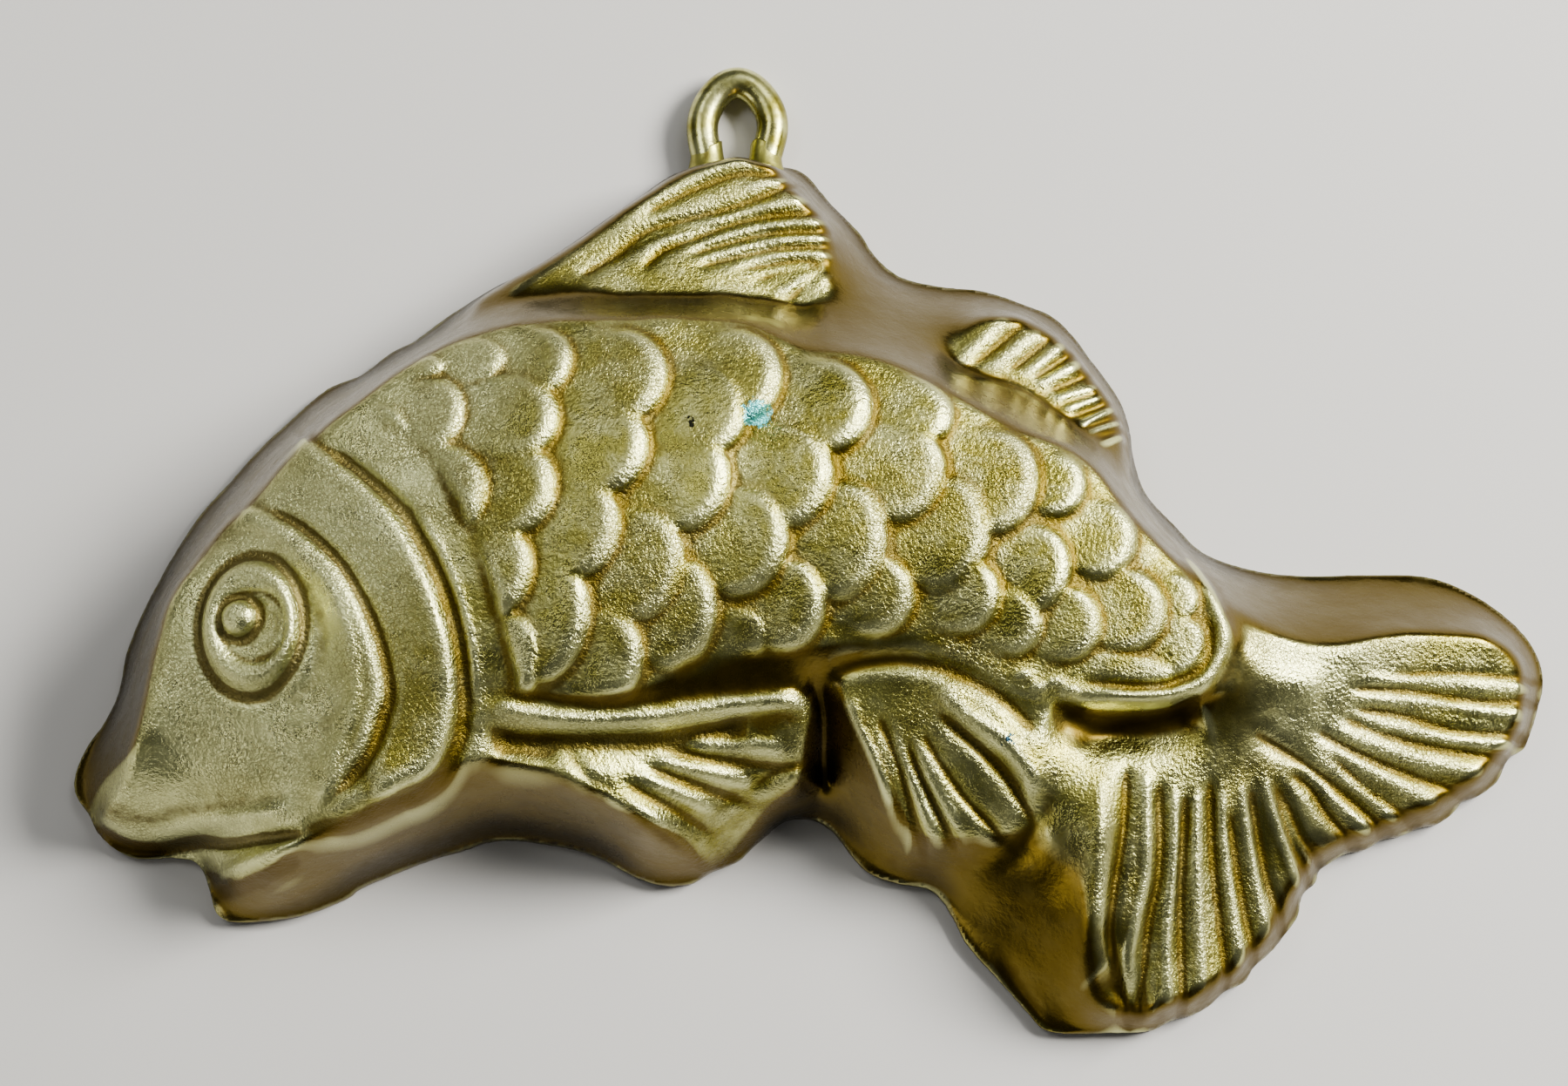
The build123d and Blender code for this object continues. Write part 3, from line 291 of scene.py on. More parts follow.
    (-1.3, 1.4, 1.4, "round", [(-85, 9.3), (-78.4, 4.4), (-71, -2.2), (-67.6, -7.4), (-65.1, -12.2), (-62.6, -18.7), (-60.8, -26.7), (-60.3, -34.6), (-61.1, -41), (-63.7, -46), (-67.1, -49.4), (-72.1, -52.2)]),
    (0.9, 1, 1, "round", [(-69.1, -2.7), (-66.1, -7.4), (-63.4, -12.8), (-61.2, -18.7), (-59.3, -26.7), (-58.7, -34.6)]),
    (1.5, 1, 4.5, "round", [(-101.8, -0.2), (-99.1, -1.2), (-92.8, -4), (-85.2, -10.6), (-82.1, -14.7), (-79.1, -20.8), (-76.7, -27.6), (-75.8, -34), (-77.1, -37.9), (-78.5, -42.2), (-80.8, -45.2), (-83.9, -49.2), (-87, -52.7)]),
    (-1.2, 1, 1.2, "round", [(-95.8, -0.9), (-90, -3.9), (-83.3, -10), (-79.8, -15), (-76.6, -20.8), (-74.3, -27.6), (-73.4, -34.3), (-74.6, -38.5), (-76.2, -42.9), (-78.8, -46.8), (-82.2, -50.3)]),
    (0.8, 1, 3.5, "round", [(-98.6, -3), (-93.2, -5.9), (-88.8, -10.4), (-84.5, -15.2), (-81.9, -20.4), (-80.3, -26), (-79.7, -33.9), (-80.8, -39.1), (-82.2, -42.1), (-84.9, -48)]),
    (-0.8, 2.4, 2.4, "round", [(-109.3, -9.9), (-106.2, -6.1), (-100.5, -4.5), (-94.7, -6.8), (-89.8, -11.9), (-86.9, -19), (-86.5, -25.8), (-88.4, -31.8), (-92.7, -34.7), (-98, -35.4)]),
    (-2.4, 1.1, 1.3, "round", [(-128.2, -55.1), (-124.8, -57.4), (-120, -57.9), (-111.3, -56.8), (-104.3, -57.8), (-97.7, -57.6), (-89.8, -57.3)]),
    (1.3, 1.6, 1.1, "round", [(-129.7, -50.9), (-127.9, -53.4), (-124.1, -55.1), (-119.4, -55.6), (-110.7, -54.4), (-103.2, -54), (-97.6, -53.7), (-91.4, -53.2)]),
    (-1.6, 1.6, 1.6, "round", [(-89.6, -57), (-85.5, -56.1), (-81.5, -55.5), (-75, -52.8), (-68.5, -49.1)]),
    (1.2, 1, 1.2, "round", [(-107.4, -62.9), (-98.3, -61.1), (-91, -59.1)]),
    (-1.2, 1.2, 1.6, "round", [(-109.6, -65.4), (-105.2, -65.8), (-98, -64.5), (-90.3, -60.7)]),
    (0.6, 3, 3, "round", [(-120.8, -51.1), (-115.3, -48.3), (-106.9, -46.4), (-97, -47)]),
]

# ---- scales: centre, half length towards the tail, half width, direction of the tail in degrees
SCALES = [
    (-68.5, 24.9, 3.1, 1.8, -0), (-59.9, 25.7, 5.5, 4, -0), (-48.2, 24.9, 6.1, 6.7, -5),
    (-34.6, 21.9, 9.6, 9.6, -8), (-14.4, 22, 9.6, 9.6, -10), (1, 16.8, 10, 9.4, -12),
    (16.9, 16.4, 8.5, 6.7, -18), (31.1, 3.7, 9.3, 10.1, -15), (42.8, 3.5, 5.8, 6.1, -20),
    (50.7, -6.2, 6.8, 7.4, -20), (-78.1, 12.9, 7, 5.4, -15), (-67.2, 15.6, 6.1, 7, -8),
    (-53.3, 14.3, 9.4, 8.5, -12), (-38, 8.9, 9.8, 9.7, -12), (-20.1, 15.7, 9.4, 9.4, -15),
    (-5.2, 3.9, 9.4, 10, -10), (14.4, 5.1, 9.4, 9.7, -12), (-65.8, 1.9, 10, 8.5, -25),
    (-53.8, 1.6, 9.6, 9.4, -15), (-42.4, -5.5, 9.5, 10, -15), (-22.8, 2.9, 8.8, 9.7, -15),
    (-12.9, -7.9, 9.1, 10, -15), (4.3, -7.4, 9.1, 10.9, -10), (22.3, -5.8, 9.3, 10.7, -12),
    (-57, -13, 8.8, 9.4, -20), (-47.2, -21.6, 8.8, 11.4, -15), (-30.9, -12, 9.1, 10.3, -12),
    (-54.6, -28.2, 8.2, 8.8, -15), (-36.7, -27.9, 7.6, 8.8, -10), (-24.3, -20.3, 7.9, 10, -10),
    (-12.8, -23.5, 5.5, 4.3, -10), (-5.2, -18.6, 7.9, 8.2, -15), (10, -16.6, 8.2, 7.3, -8),
    (25.3, -16.3, 8.1, 7.3, -8), (33.6, -21.1, 7.1, 6.1, -8), (38.8, -11.6, 7, 8, -10),
    (44.1, -21.1, 7.1, 6.8, -8), (54.9, -18.5, 8, 7.7, -8), (63.7, -16, 4.8, 4.6, -5),
    (63.5, -24.5, 6.8, 5.7, -5), (54.9, -28.8, 9.6, 2.5, -6),
]


def smooth_line(pts, step, closed=False):
    p = np.array(pts, float)
    n = len(p)
    out = []
    for i in range(n if closed else n - 1):
        p1, p2 = p[i], p[(i + 1) % n]
        p0 = p[i - 1] if closed or i > 0 else 2 * p1 - p2
        p3 = p[(i + 2) % n] if closed or i + 2 < n else 2 * p2 - p1
        run = np.linalg.norm(p2[:2] - p1[:2])
        t = np.arange(max(1, math.ceil(run / step)))[:, None]
        t = t / len(t)
        m1 = (p2 - p0) / (np.linalg.norm((p2 - p0)[:2]) + 1e-9) * run
        m2 = (p3 - p1) / (np.linalg.norm((p3 - p1)[:2]) + 1e-9) * run
        out.append(
            (2 * t**3 - 3 * t**2 + 1) * p1 + (t**3 - 2 * t**2 + t) * m1
            + (3 * t**2 - 2 * t**3) * p2 + (t**3 - t**2) * m2
        )
    if not closed:
        out.append(p[-1:])
    return np.vstack(out)


def within(poly, X, Y):
    a, b = poly, np.roll(poly, -1, 0)
    mask = np.zeros(X.shape, bool)
    for j, y in enumerate(Y[:, 0]):
        c = ((a[:, 1] <= y) & (b[:, 1] > y)) | ((b[:, 1] <= y) & (a[:, 1] > y))
        if c.any():
            cut = np.sort(a[c, 0] + (y - a[c, 1]) * (b[c, 0] - a[c, 0]) / (b[c, 1] - a[c, 1]))
            mask[j] = np.searchsorted(cut, X[0]) % 2 == 1
    return mask


def soften(H, s):
    r = math.ceil(3 * s)
    k = np.exp(-0.5 * (np.arange(-r, r + 1) / s) ** 2)
    k /= k.sum()
    P = np.pad(H, ((r, r), (0, 0)), mode="edge")
    H = sum(k[i] * P[i : i + H.shape[0]] for i in range(2 * r + 1))
    P = np.pad(H, ((0, 0), (r, r)), mode="edge")
    return sum(k[i] * P[:, i : i + H.shape[1]] for i in range(2 * r + 1))


def sample(H, lo, g, x, y):
    u = np.clip((x - lo[0]) / g, 0, H.shape[1] - 1.001)
    v = np.clip((y - lo[1]) / g, 0, H.shape[0] - 1.001)
    i, j = u.astype(int), v.astype(int)
    u, v = u - i, v - j
    return (H[j, i] * (1 - u) + H[j, i + 1] * u) * (1 - v) + (H[j + 1, i] * (1 - u) + H[j + 1, i + 1] * u) * v


def relief(rim, lines, body, lo, hi, g):
    """Drafted walls and crowned tops as one height field: a taut skin through the height lines."""
    H = None
    for level in (4, 3, 2, 1, 0):
        s = g * 2**level
        nx, ny = math.ceil((hi[0] - lo[0]) / s) + 1, math.ceil((hi[1] - lo[1]) / s) + 1
        X, Y = np.meshgrid(lo[0] + np.arange(nx) * s, lo[1] + np.arange(ny) * s)
        total, count = np.zeros(X.shape), np.zeros(X.shape)
        for line in [*lines, None]:
            q = rim if line is None else smooth_line(line, s / 2)
            i, j = np.rint((q[:, 0] - lo[0]) / s).astype(int), np.rint((q[:, 1] - lo[1]) / s).astype(int)
            np.add.at(total, (j, i), q[:, 2])
            np.add.at(count, (j, i), 1)
        held = (count > 0) | ~within(rim, X, Y)
        at = np.where(count > 0, total / np.maximum(count, 1), 0)
        H = np.where(held, at, 10.0 if H is None else sample(H, lo, s * 2, X, Y))
        crown = within(body, X, Y) * DOME * s * s / 4
        for _ in range(1000 if level == 4 else 300):
            P = np.pad(H, 1, mode="edge")
            H = np.where(held, at, (P[:-2, 1:-1] + P[2:, 1:-1] + P[1:-1, :-2] + P[1:-1, 2:]) / 4 + crown)
    return X, Y, H


# ---- the relief ----------------------------------------------------------------------------
LO, HI = (-144.0, -99.0), (144.0, 99.0)
rim3 = smooth_line([(x, y, 0.0) for x, y in RIM], 0.5, closed=True)
bx, by, base = relief(rim3, list(HEIGHT_LINES.values()), smooth_line([(x, y, 0.0) for x, y in BODY], 1.0, True), LO, HI, 0.6)
G = 0.3
nx, ny = round((HI[0] - LO[0]) / G) + 1, round((HI[1] - LO[1]) / G) + 1
X, Y = np.meshgrid(LO[0] + np.arange(nx) * G, LO[1] + np.arange(ny) * G)
H = sample(base, LO, 0.6, X, Y)
H = soften(H, SOFTEN / G)
plain = H.copy()

# distance from the rim, positive inside
ring = smooth_line([(x, y, 0.0) for x, y in RIM], 0.35, closed=True)[:, :2]


def edge_distance(X, Y, reach=None):
    """Unsigned distance from the rim on a raster, by cells so it stays quick."""
    out = np.full(X.shape, 1e9)
    step = 24
    for j in range(0, X.shape[0], step):
        for i in range(0, X.shape[1], step):
            x, y = X[j : j + step, i : i + step], Y[j : j + step, i : i + step]
            c = (x.mean(), y.mean())
            r = math.hypot(x.max() - x.min(), y.max() - y.min()) / 2
            dc = np.hypot(ring[:, 0] - c[0], ring[:, 1] - c[1])
            near = ring[dc < dc.min() + 2 * r + 0.5]
            d = np.hypot(x[..., None] - near[:, 0], y[..., None] - near[:, 1]).min(-1)
            out[j : j + step, i : i + step] = d
    return out


away = edge_distance(X, Y)
away = np.where(within(np.column_stack([ring, np.zeros(len(ring))]), X, Y), away, -away)


def step01(a, b, v):
    t = np.clip((v - a) / (b - a), 0, 1)
    return t * t * (3 - 2 * t)


def patch(x0, x1, y0, y1):
    i0, i1 = max(0, int((x0 - LO[0]) / G)), min(nx, int((x1 - LO[0]) / G) + 2)
    j0, j1 = max(0, int((y0 - LO[1]) / G)), min(ny, int((y1 - LO[1]) / G) + 2)
    return slice(j0, j1), slice(i0, i1)


# scales, the ones nearer the head lying over the ones nearer the tail
skin = smooth_line([(x, y, 0.0) for x, y, _ in HEIGHT_LINES["scale_boundary"]], 0.5)
gill = [(-54.1, -34.3, 0.0), (-50.5, -33.0, 0.0), (-54.0, -20.0, 0.0), (-58.5, -6.0, 0.0), (-66.0, 8.0, 0.0), (-75.0, 16.0, 0.0), (-80.0, 20.0, 0.0)]
area = np.vstack([skin, np.array(gill)])
in_area = within(area, X, Y).astype(float)
fade = step01(0.12, 0.75, soften(in_area, 1.6 / G))
plates = np.zeros(X.shape)
for cx, cy, ru, rv, angle in SCALES:
    sl = patch(cx - 14, cx + 14, cy - 14, cy + 14)
    c, s = math.cos(math.radians(angle)), math.sin(math.radians(angle))
    u = (X[sl] - cx) * c + (Y[sl] - cy) * s
    v = -(X[sl] - cx) * s + (Y[sl] - cy) * c
    a, b = u / ru, v / rv
    e = np.sqrt(np.maximum(a, 0) ** 2 + b**2)
    lip = np.sqrt((np.maximum(a + 0.06, 0) / 0.82) ** 2 + (b / 0.88) ** 2)
    k = min(1.0, max(0.5, min(ru, rv) / 8.6))
    off = k * (0.05 + 2.75 * step01(-1.0, 0.95, a) - 0.22 * b**2)
    off = off - k * (0.40 * step01(0.95, 1.03, lip) + 0.70 * np.clip((lip - 1.03) / 0.2, 0, 1))
    off = off - k * 1.5 * step01(0.94, 1.0, e)
    off = np.where((e < 1) & (a > -1.05), off, -9)
    plates[sl] = np.maximum(plates[sl], off)
plates = soften(plates, 0.27 / G)
H = H + plates * fade


# pressed ridges and grooves
def press(H, amp, wl, wr, profile, pts):
    q = smooth_line([(x, y, 0.0) for x, y in pts], 0.8)[:, :2] if len(pts) > 2 else np.linspace(pts[0], pts[1], 12)
    reach = 3.0 * max(wl, wr) + 0.5
    sl = patch(q[:, 0].min() - reach, q[:, 0].max() + reach, q[:, 1].min() - reach, q[:, 1].max() + reach)
    x, y = X[sl], Y[sl]
    best = np.full(x.shape, 1e9)
    side = np.zeros(x.shape)
    along = np.zeros(x.shape)
    total = np.linalg.norm(np.diff(q, axis=0), axis=1)
    run = np.concatenate([[0], np.cumsum(total)])
    for m in range(len(q) - 1):
        a, d = q[m], q[m + 1] - q[m]
        l2 = d @ d + 1e-12
        t = np.clip(((x - a[0]) * d[0] + (y - a[1]) * d[1]) / l2, 0, 1)
        px, py = x - a[0] - t * d[0], y - a[1] - t * d[1]
        r = px * px + py * py
        nearer = r < best
        best = np.where(nearer, r, best)
        side = np.where(nearer, d[0] * (y - a[1]) - d[1] * (x - a[0]), side)
        along = np.where(nearer, run[m] + t * total[m], along)
    dist = np.sqrt(best)
    w = np.where(side > 0, wl, wr)
    fall = np.exp(-((dist / w) ** 2)) if profile == "round" else np.exp(-(dist / w) ** 1.25)
    ends = min(4.0, run[-1] * 0.3)
    taper = step01(-0.6, ends, along) * step01(-0.6, ends, run[-1] - along)
    H[sl] += amp * fall * np.sqrt(taper)


for amp, wl, wr, profile, pts in STROKES:
    press(H, amp, wl, wr, profile, pts)

# eye: ring, dish and pupil
(ex, ey), (dx, dy), (px, py) = (-98.7, -21.3), (-97.8, -21.7), (-100.6, -20.2)
sl = patch(ex - 16, ex + 16, ey - 18, ey + 18)
e = np.sqrt(((X[sl] - ex) / 9.0) ** 2 + ((Y[sl] - ey) / 11.6) ** 2)
d = np.hypot(X[sl] - dx, (Y[sl] - dy) / 1.04)
H[sl] += 2.4 * step01(1.06, 0.84, e) + 0.5 * np.exp(-(((e - 0.80) / 0.10) ** 2)) - 0.7 * np.exp(-(((e - 1.10) / 0.09) ** 2))
H[sl] += -1.1 * step01(6.9, 5.6, d) + 0.35 * np.exp(-(((d - 5.0) / 0.6) ** 2))
p = np.hypot(X[sl] - px, Y[sl] - py)
H[sl] += 3.0 * np.sqrt(np.clip(1 - (p / 3.6) ** 2, 0, 1)) * step01(3.7, 2.6, p) - 0.6 * np.exp(-(((p - 3.9) / 0.8) ** 2))

H = soften(H, 0.2 / G)
# slight unevenness of a hand-finished pressing
rng = np.random.default_rng(7)
for cell, a in ((14.0, 0.22), (5.0, 0.07)):
    n = (int((HI[1] - LO[1]) / cell) + 3, int((HI[0] - LO[0]) / cell) + 3)
    N = rng.standard_normal(n)
    H = H + a * soften(sample(N, LO, cell, X, Y), cell * 0.35 / G) * step01(0.0, 9.0, away)
H = np.maximum(H, 0.0) + RIM_BAND * np.exp(-np.maximum(H, 0.0) / 4)

gy, gx = np.gradient(plain, G)
slope = soften(np.hypot(gx, gy), 0.8 / G)
tops = np.zeros(X.shape)
for outline in (BODY, PECTORAL, PELVIC, SNOUT):
    loop = smooth_line([(x, y, 0.0) for x, y in outline], 1.0, True)
    tops = np.maximum(tops, soften(within(loop, X, Y).astype(float), 0.7 / G))
raised = np.maximum(step01(0.62, 0.34, slope) * step01(6.0, 9.0, plain), 0.85 * tops)
# from here on the slope also serves as the mask of the painted wall shade; fin and body tops are mostly held out of it
slope = slope * (1 - 0.80 * tops)
# head tops and a patch of the tail paled: partly real polish, partly painted highlight
polish_and_painted_highlight = tops * step01(-56.0, -70.0, X - 0.45 * Y) + step01(74.0, 82.0, X) * step01(114.0, 100.0, X) * step01(-48.0, -40.0, Y) * step01(0.9, 0.4, slope)
polish_and_painted_highlight = soften(np.clip(polish_and_painted_highlight, 0, 1), 2.0 / G)
pressed = H - plain
hollow = np.clip((soften(pressed, 1.3 / G) - pressed) / 0.8, -1, 1)
wide = soften(H, 5.0 / G)
deep = np.clip((wide - H) / 4.0, -1, 1)

inner = soften(H, 0.9 / G)
iy, ix = np.gradient(inner, G)
inner = inner - SHEET * np.sqrt(1 + np.minimum(ix**2 + iy**2, 9.0))
ay, ax = np.gradient(soften(away, 0.6 / G), G)


def lattice(cell, level):
    """The footprint further than level inside the rim, as cells cut to its edge."""
    mx, my = int((HI[0] - LO[0]) / cell), int((HI[1] - LO[1]) / cell)
    u, v = np.meshgrid(LO[0] + np.arange(mx + 1) * cell, LO[1] + np.arange(my + 1) * cell)
    d = sample(away, LO, G, u, v) - level
    near = np.abs(d) < 0.34 * cell
    for _ in range(4):
        f = sample(away, LO, G, u, v) - level
        a, b = sample(ax, LO, G, u, v), sample(ay, LO, G, u, v)
        n = np.hypot(a, b) + 1e-9
        u, v = np.where(near, u - f * a / n, u), np.where(near, v - f * b / n, v)
    d = np.where(near, 0.0, d)
    corner = np.stack([d[:-1, :-1], d[:-1, 1:], d[1:, 1:], d[1:, :-1]])
    ids = np.arange(d.size).reshape(d.shape)
    loop = np.stack([ids[:-1, :-1], ids[:-1, 1:], ids[1:, 1:], ids[1:, :-1]])
    whole = (corner >= 0).all(0) & (corner.max(0) > 0)
    mixed = (corner.max(0) > 0) & ~whole
    faces = [tuple(f) for f in loop[:, whole].T.tolist()]
    px, py, pd = u.ravel().tolist(), v.ravel().tolist(), d.ravel()
    cut = {}
    for f in loop[:, mixed].T.tolist():
        poly = []
        for a, b in zip(f, f[1:] + f[:1]):
            if pd[a] >= 0:
                poly.append(a)
            if pd[a] * pd[b] < 0:
                key = (min(a, b), max(a, b))
                if key not in cut:
                    t = pd[key[0]] / (pd[key[0]] - pd[key[1]])
                    cut[key] = len(px)
                    px.append(px[key[0]] + t * (px[key[1]] - px[key[0]]))
                    py.append(py[key[0]] + t * (py[key[1]] - py[key[0]]))
                poly.append(cut[key])
        if len(poly) > 2:
            faces.append(tuple(poly))
    used = {}
    new_faces = []
    for f in faces:
        new_faces.append(tuple(used.setdefault(k, len(used)) for k in f))
    keep = np.array(list(used))
    points = np.column_stack([np.array(px)[keep], np.array(py)[keep]])
    edges = set()
    for f in new_faces:
        for a, b in zip(f, f[1:] + f[:1]):
            if (b, a) in edges:
                edges.discard((b, a))
            else:
                edges.add((a, b))
    after = {}
    for a, b in edges:
        after.setdefault(a, []).append(b)
    loops = []
    while after:
        start = next(iter(after))
        path, at = [start], start
        while True:
            nxt = after[at].pop()
            if not after[at]:
                del after[at]
            if nxt == start:
                break
            path.append(nxt)
            at = nxt
        loops.append(path)
    print("lattice", cell, len(points), len(new_faces), [len(k) for k in loops][:6])
    return points, new_faces, max(loops, key=len)


def zip_rings(a, b, pa, pb):
    """Triangles between two rings of points that run the same way round."""
    start = int(np.argmin(np.hypot(*(pb - pa[0]).T)))
    b = b[start:] + b[:start]
    pb = np.roll(pb, -start, 0)
    tris, i, j, na, nb = [], 0, 0, len(a), len(b)
    while i < na or j < nb:
        go_a = j >= nb or (
            i < na and np.hypot(*(pa[(i + 1) % na] - pb[j % nb])) <= np.hypot(*(pa[i % na] - pb[(j + 1) % nb]))
        )
        if go_a:
            tris.append((a[i % na], a[(i + 1) % na], b[j % nb]))
            i += 1
        else:
            tris.append((a[i % na], b[(j + 1) % nb], b[j % nb]))
            j += 1
    return tris


op, of_, ol = lattice(OUTER_CELL, 0.0)
ip, if_, il = lattice(INNER_CELL, SHEET)
oz = sample(H, LO, G, op[:, 0], op[:, 1])
iz = np.maximum(sample(inner, LO, G, ip[:, 0], ip[:, 1]), 0.7)
iz[il] = 0.9
n_o, n_i = len(op), len(ip)
co = [np.column_stack([op, oz]), np.column_stack([ip, iz])]
foot_o = list(range(n_o + n_i, n_o + n_i + len(ol)))
co.append(np.column_stack([op[ol], np.zeros(len(ol))]))
foot_i = list(range(n_o + n_i + len(ol), n_o + n_i + len(ol) + len(il)))
co.append(np.column_stack([ip[il], np.zeros(len(il))]))
faces = list(of_) + [tuple(n_o + k for k in f[::-1]) for f in if_]
for k in range(len(ol)):
    m = (k + 1) % len(ol)
    faces.append((ol[m], ol[k], foot_o[k], foot_o[m]))
for k in range(len(il)):
    m = (k + 1) % len(il)
    faces.append((n_o + il[k], n_o + il[m], foot_i[m], foot_i[k]))
faces += [t[::-1] for t in zip_rings(foot_o, foot_i, op[ol], ip[il])]
co = np.vstack(co)

mesh = bpy.data.meshes.new("fish_shell")
mesh.from_pydata((co / 1000).tolist(), [], faces)
mesh.validate()
mesh.update()
mesh.polygons.foreach_set("use_smooth", np.ones(len(mesh.polygons), bool))
fish = bpy.data.objects.new("fish_shell", mesh)
bpy.context.scene.collection.objects.link(fish)
for name, field, rest in (("raised", raised, 0.0), ("hollow", hollow, 0.0), ("deep", deep, 0.0), ("slope", slope, 1.5), ("polish_and_painted_highlight", polish_and_painted_highlight, 0.0)):
    at = mesh.attributes.new(name, "FLOAT", "POINT")
    values = np.full(len(co), rest, np.float32)
    values[:n_o] = sample(field, LO, G, op[:, 0], op[:, 1])
    at.data.foreach_set("value", values)
inside = mesh.attributes.new("inside", "FLOAT", "POINT")
values = np.zeros(len(co), np.float32)
values[n_o : n_o + n_i] = 1
inside.data.foreach_set("value", values)
sharp = mesh.attributes.new("sharp_edge", "BOOLEAN", "EDGE")
turned = np.zeros(len(mesh.edges), bool)
ev = np.zeros(len(mesh.edges) * 2, np.int32)
mesh.edges.foreach_get("vertices", ev)
ev = ev.reshape(-1, 2)
turned = (ev >= n_o + n_i).all(1)
sharp.data.foreach_set("value", turned)
print("triangles", sum(len(f) - 2 for f in faces))


# ---- materials ------------------------------------------------------------------------------
class Tree:
    def __init__(self, name):
        self.mat = bpy.data.materials.new(name)
        self.mat.use_nodes = True
        self.t = self.mat.node_tree
        self.shader = self.t.nodes["Principled BSDF"]

    def node(self, kind, **sets):
        n = self.t.nodes.new(kind)
        for k, v in sets.items():
            if k in ("operation", "blend_type", "data_type", "attribute_name", "feature", "clamp", "noise_dimensions", "distance"):
                setattr(n, k, v)
            else:
                n.inputs[k.replace("_", " ")].default_value = v
        return n

    def link(self, a, b):
        self.t.links.new(a, b)
        return b

    def coords(self):
        return self.node("ShaderNodeTexCoord").outputs["Object"]

    def noise(self, scale, detail=4.0, rough=0.55):
        n = self.node("ShaderNodeTexNoise", Scale=scale, Detail=detail, Roughness=rough)
        self.link(self.coords(), n.inputs["Vector"])
        return n.outputs["Fac"]

    def band(self, value, a, b, c=0.0, d=1.0):
        n = self.t.nodes.new("ShaderNodeMapRange")
        n.inputs["From Min"].default_value = a
        n.inputs["From Max"].default_value = b
        n.inputs["To Min"].default_value = c
        n.inputs["To Max"].default_value = d
        self.link(value, n.inputs["Value"])
        return n.outputs["Result"]

    def math(self, op, a, b):
        n = self.t.nodes.new("ShaderNodeMath")
        n.operation = op
        n.use_clamp = False
        for k, v in enumerate((a, b)):
            if isinstance(v, (int, float)):
                n.inputs[k].default_value = v
            else:
                self.link(v, n.inputs[k])
        return n.outputs[0]

    def mix(self, fac, a, b):
        n = self.t.nodes.new("ShaderNodeMix")
        n.data_type = "RGBA"
        for sock, v in ((n.inputs[0], fac), (n.inputs[6], a), (n.inputs[7], b)):
            if isinstance(v, (int, float)):
                sock.default_value = v
            elif isinstance(v, tuple):
                sock.default_value = (*v, 1.0)
            else:
                self.link(v, sock)
        return n.outputs[2]

    def attr(self, name):
        n = self.t.nodes.new("ShaderNodeAttribute")
        n.attribute_name = name
        return n.outputs["Fac"]


BRASS = (0.50, 0.485, 0.13)
PALE = (0.81, 0.82, 0.38)
OLIVE = (0.25, 0.225, 0.033)
BROWN = (0.10, 0.062, 0.003)
RECESS_SHADE_BLACK = (0.03, 0.02, 0.004)


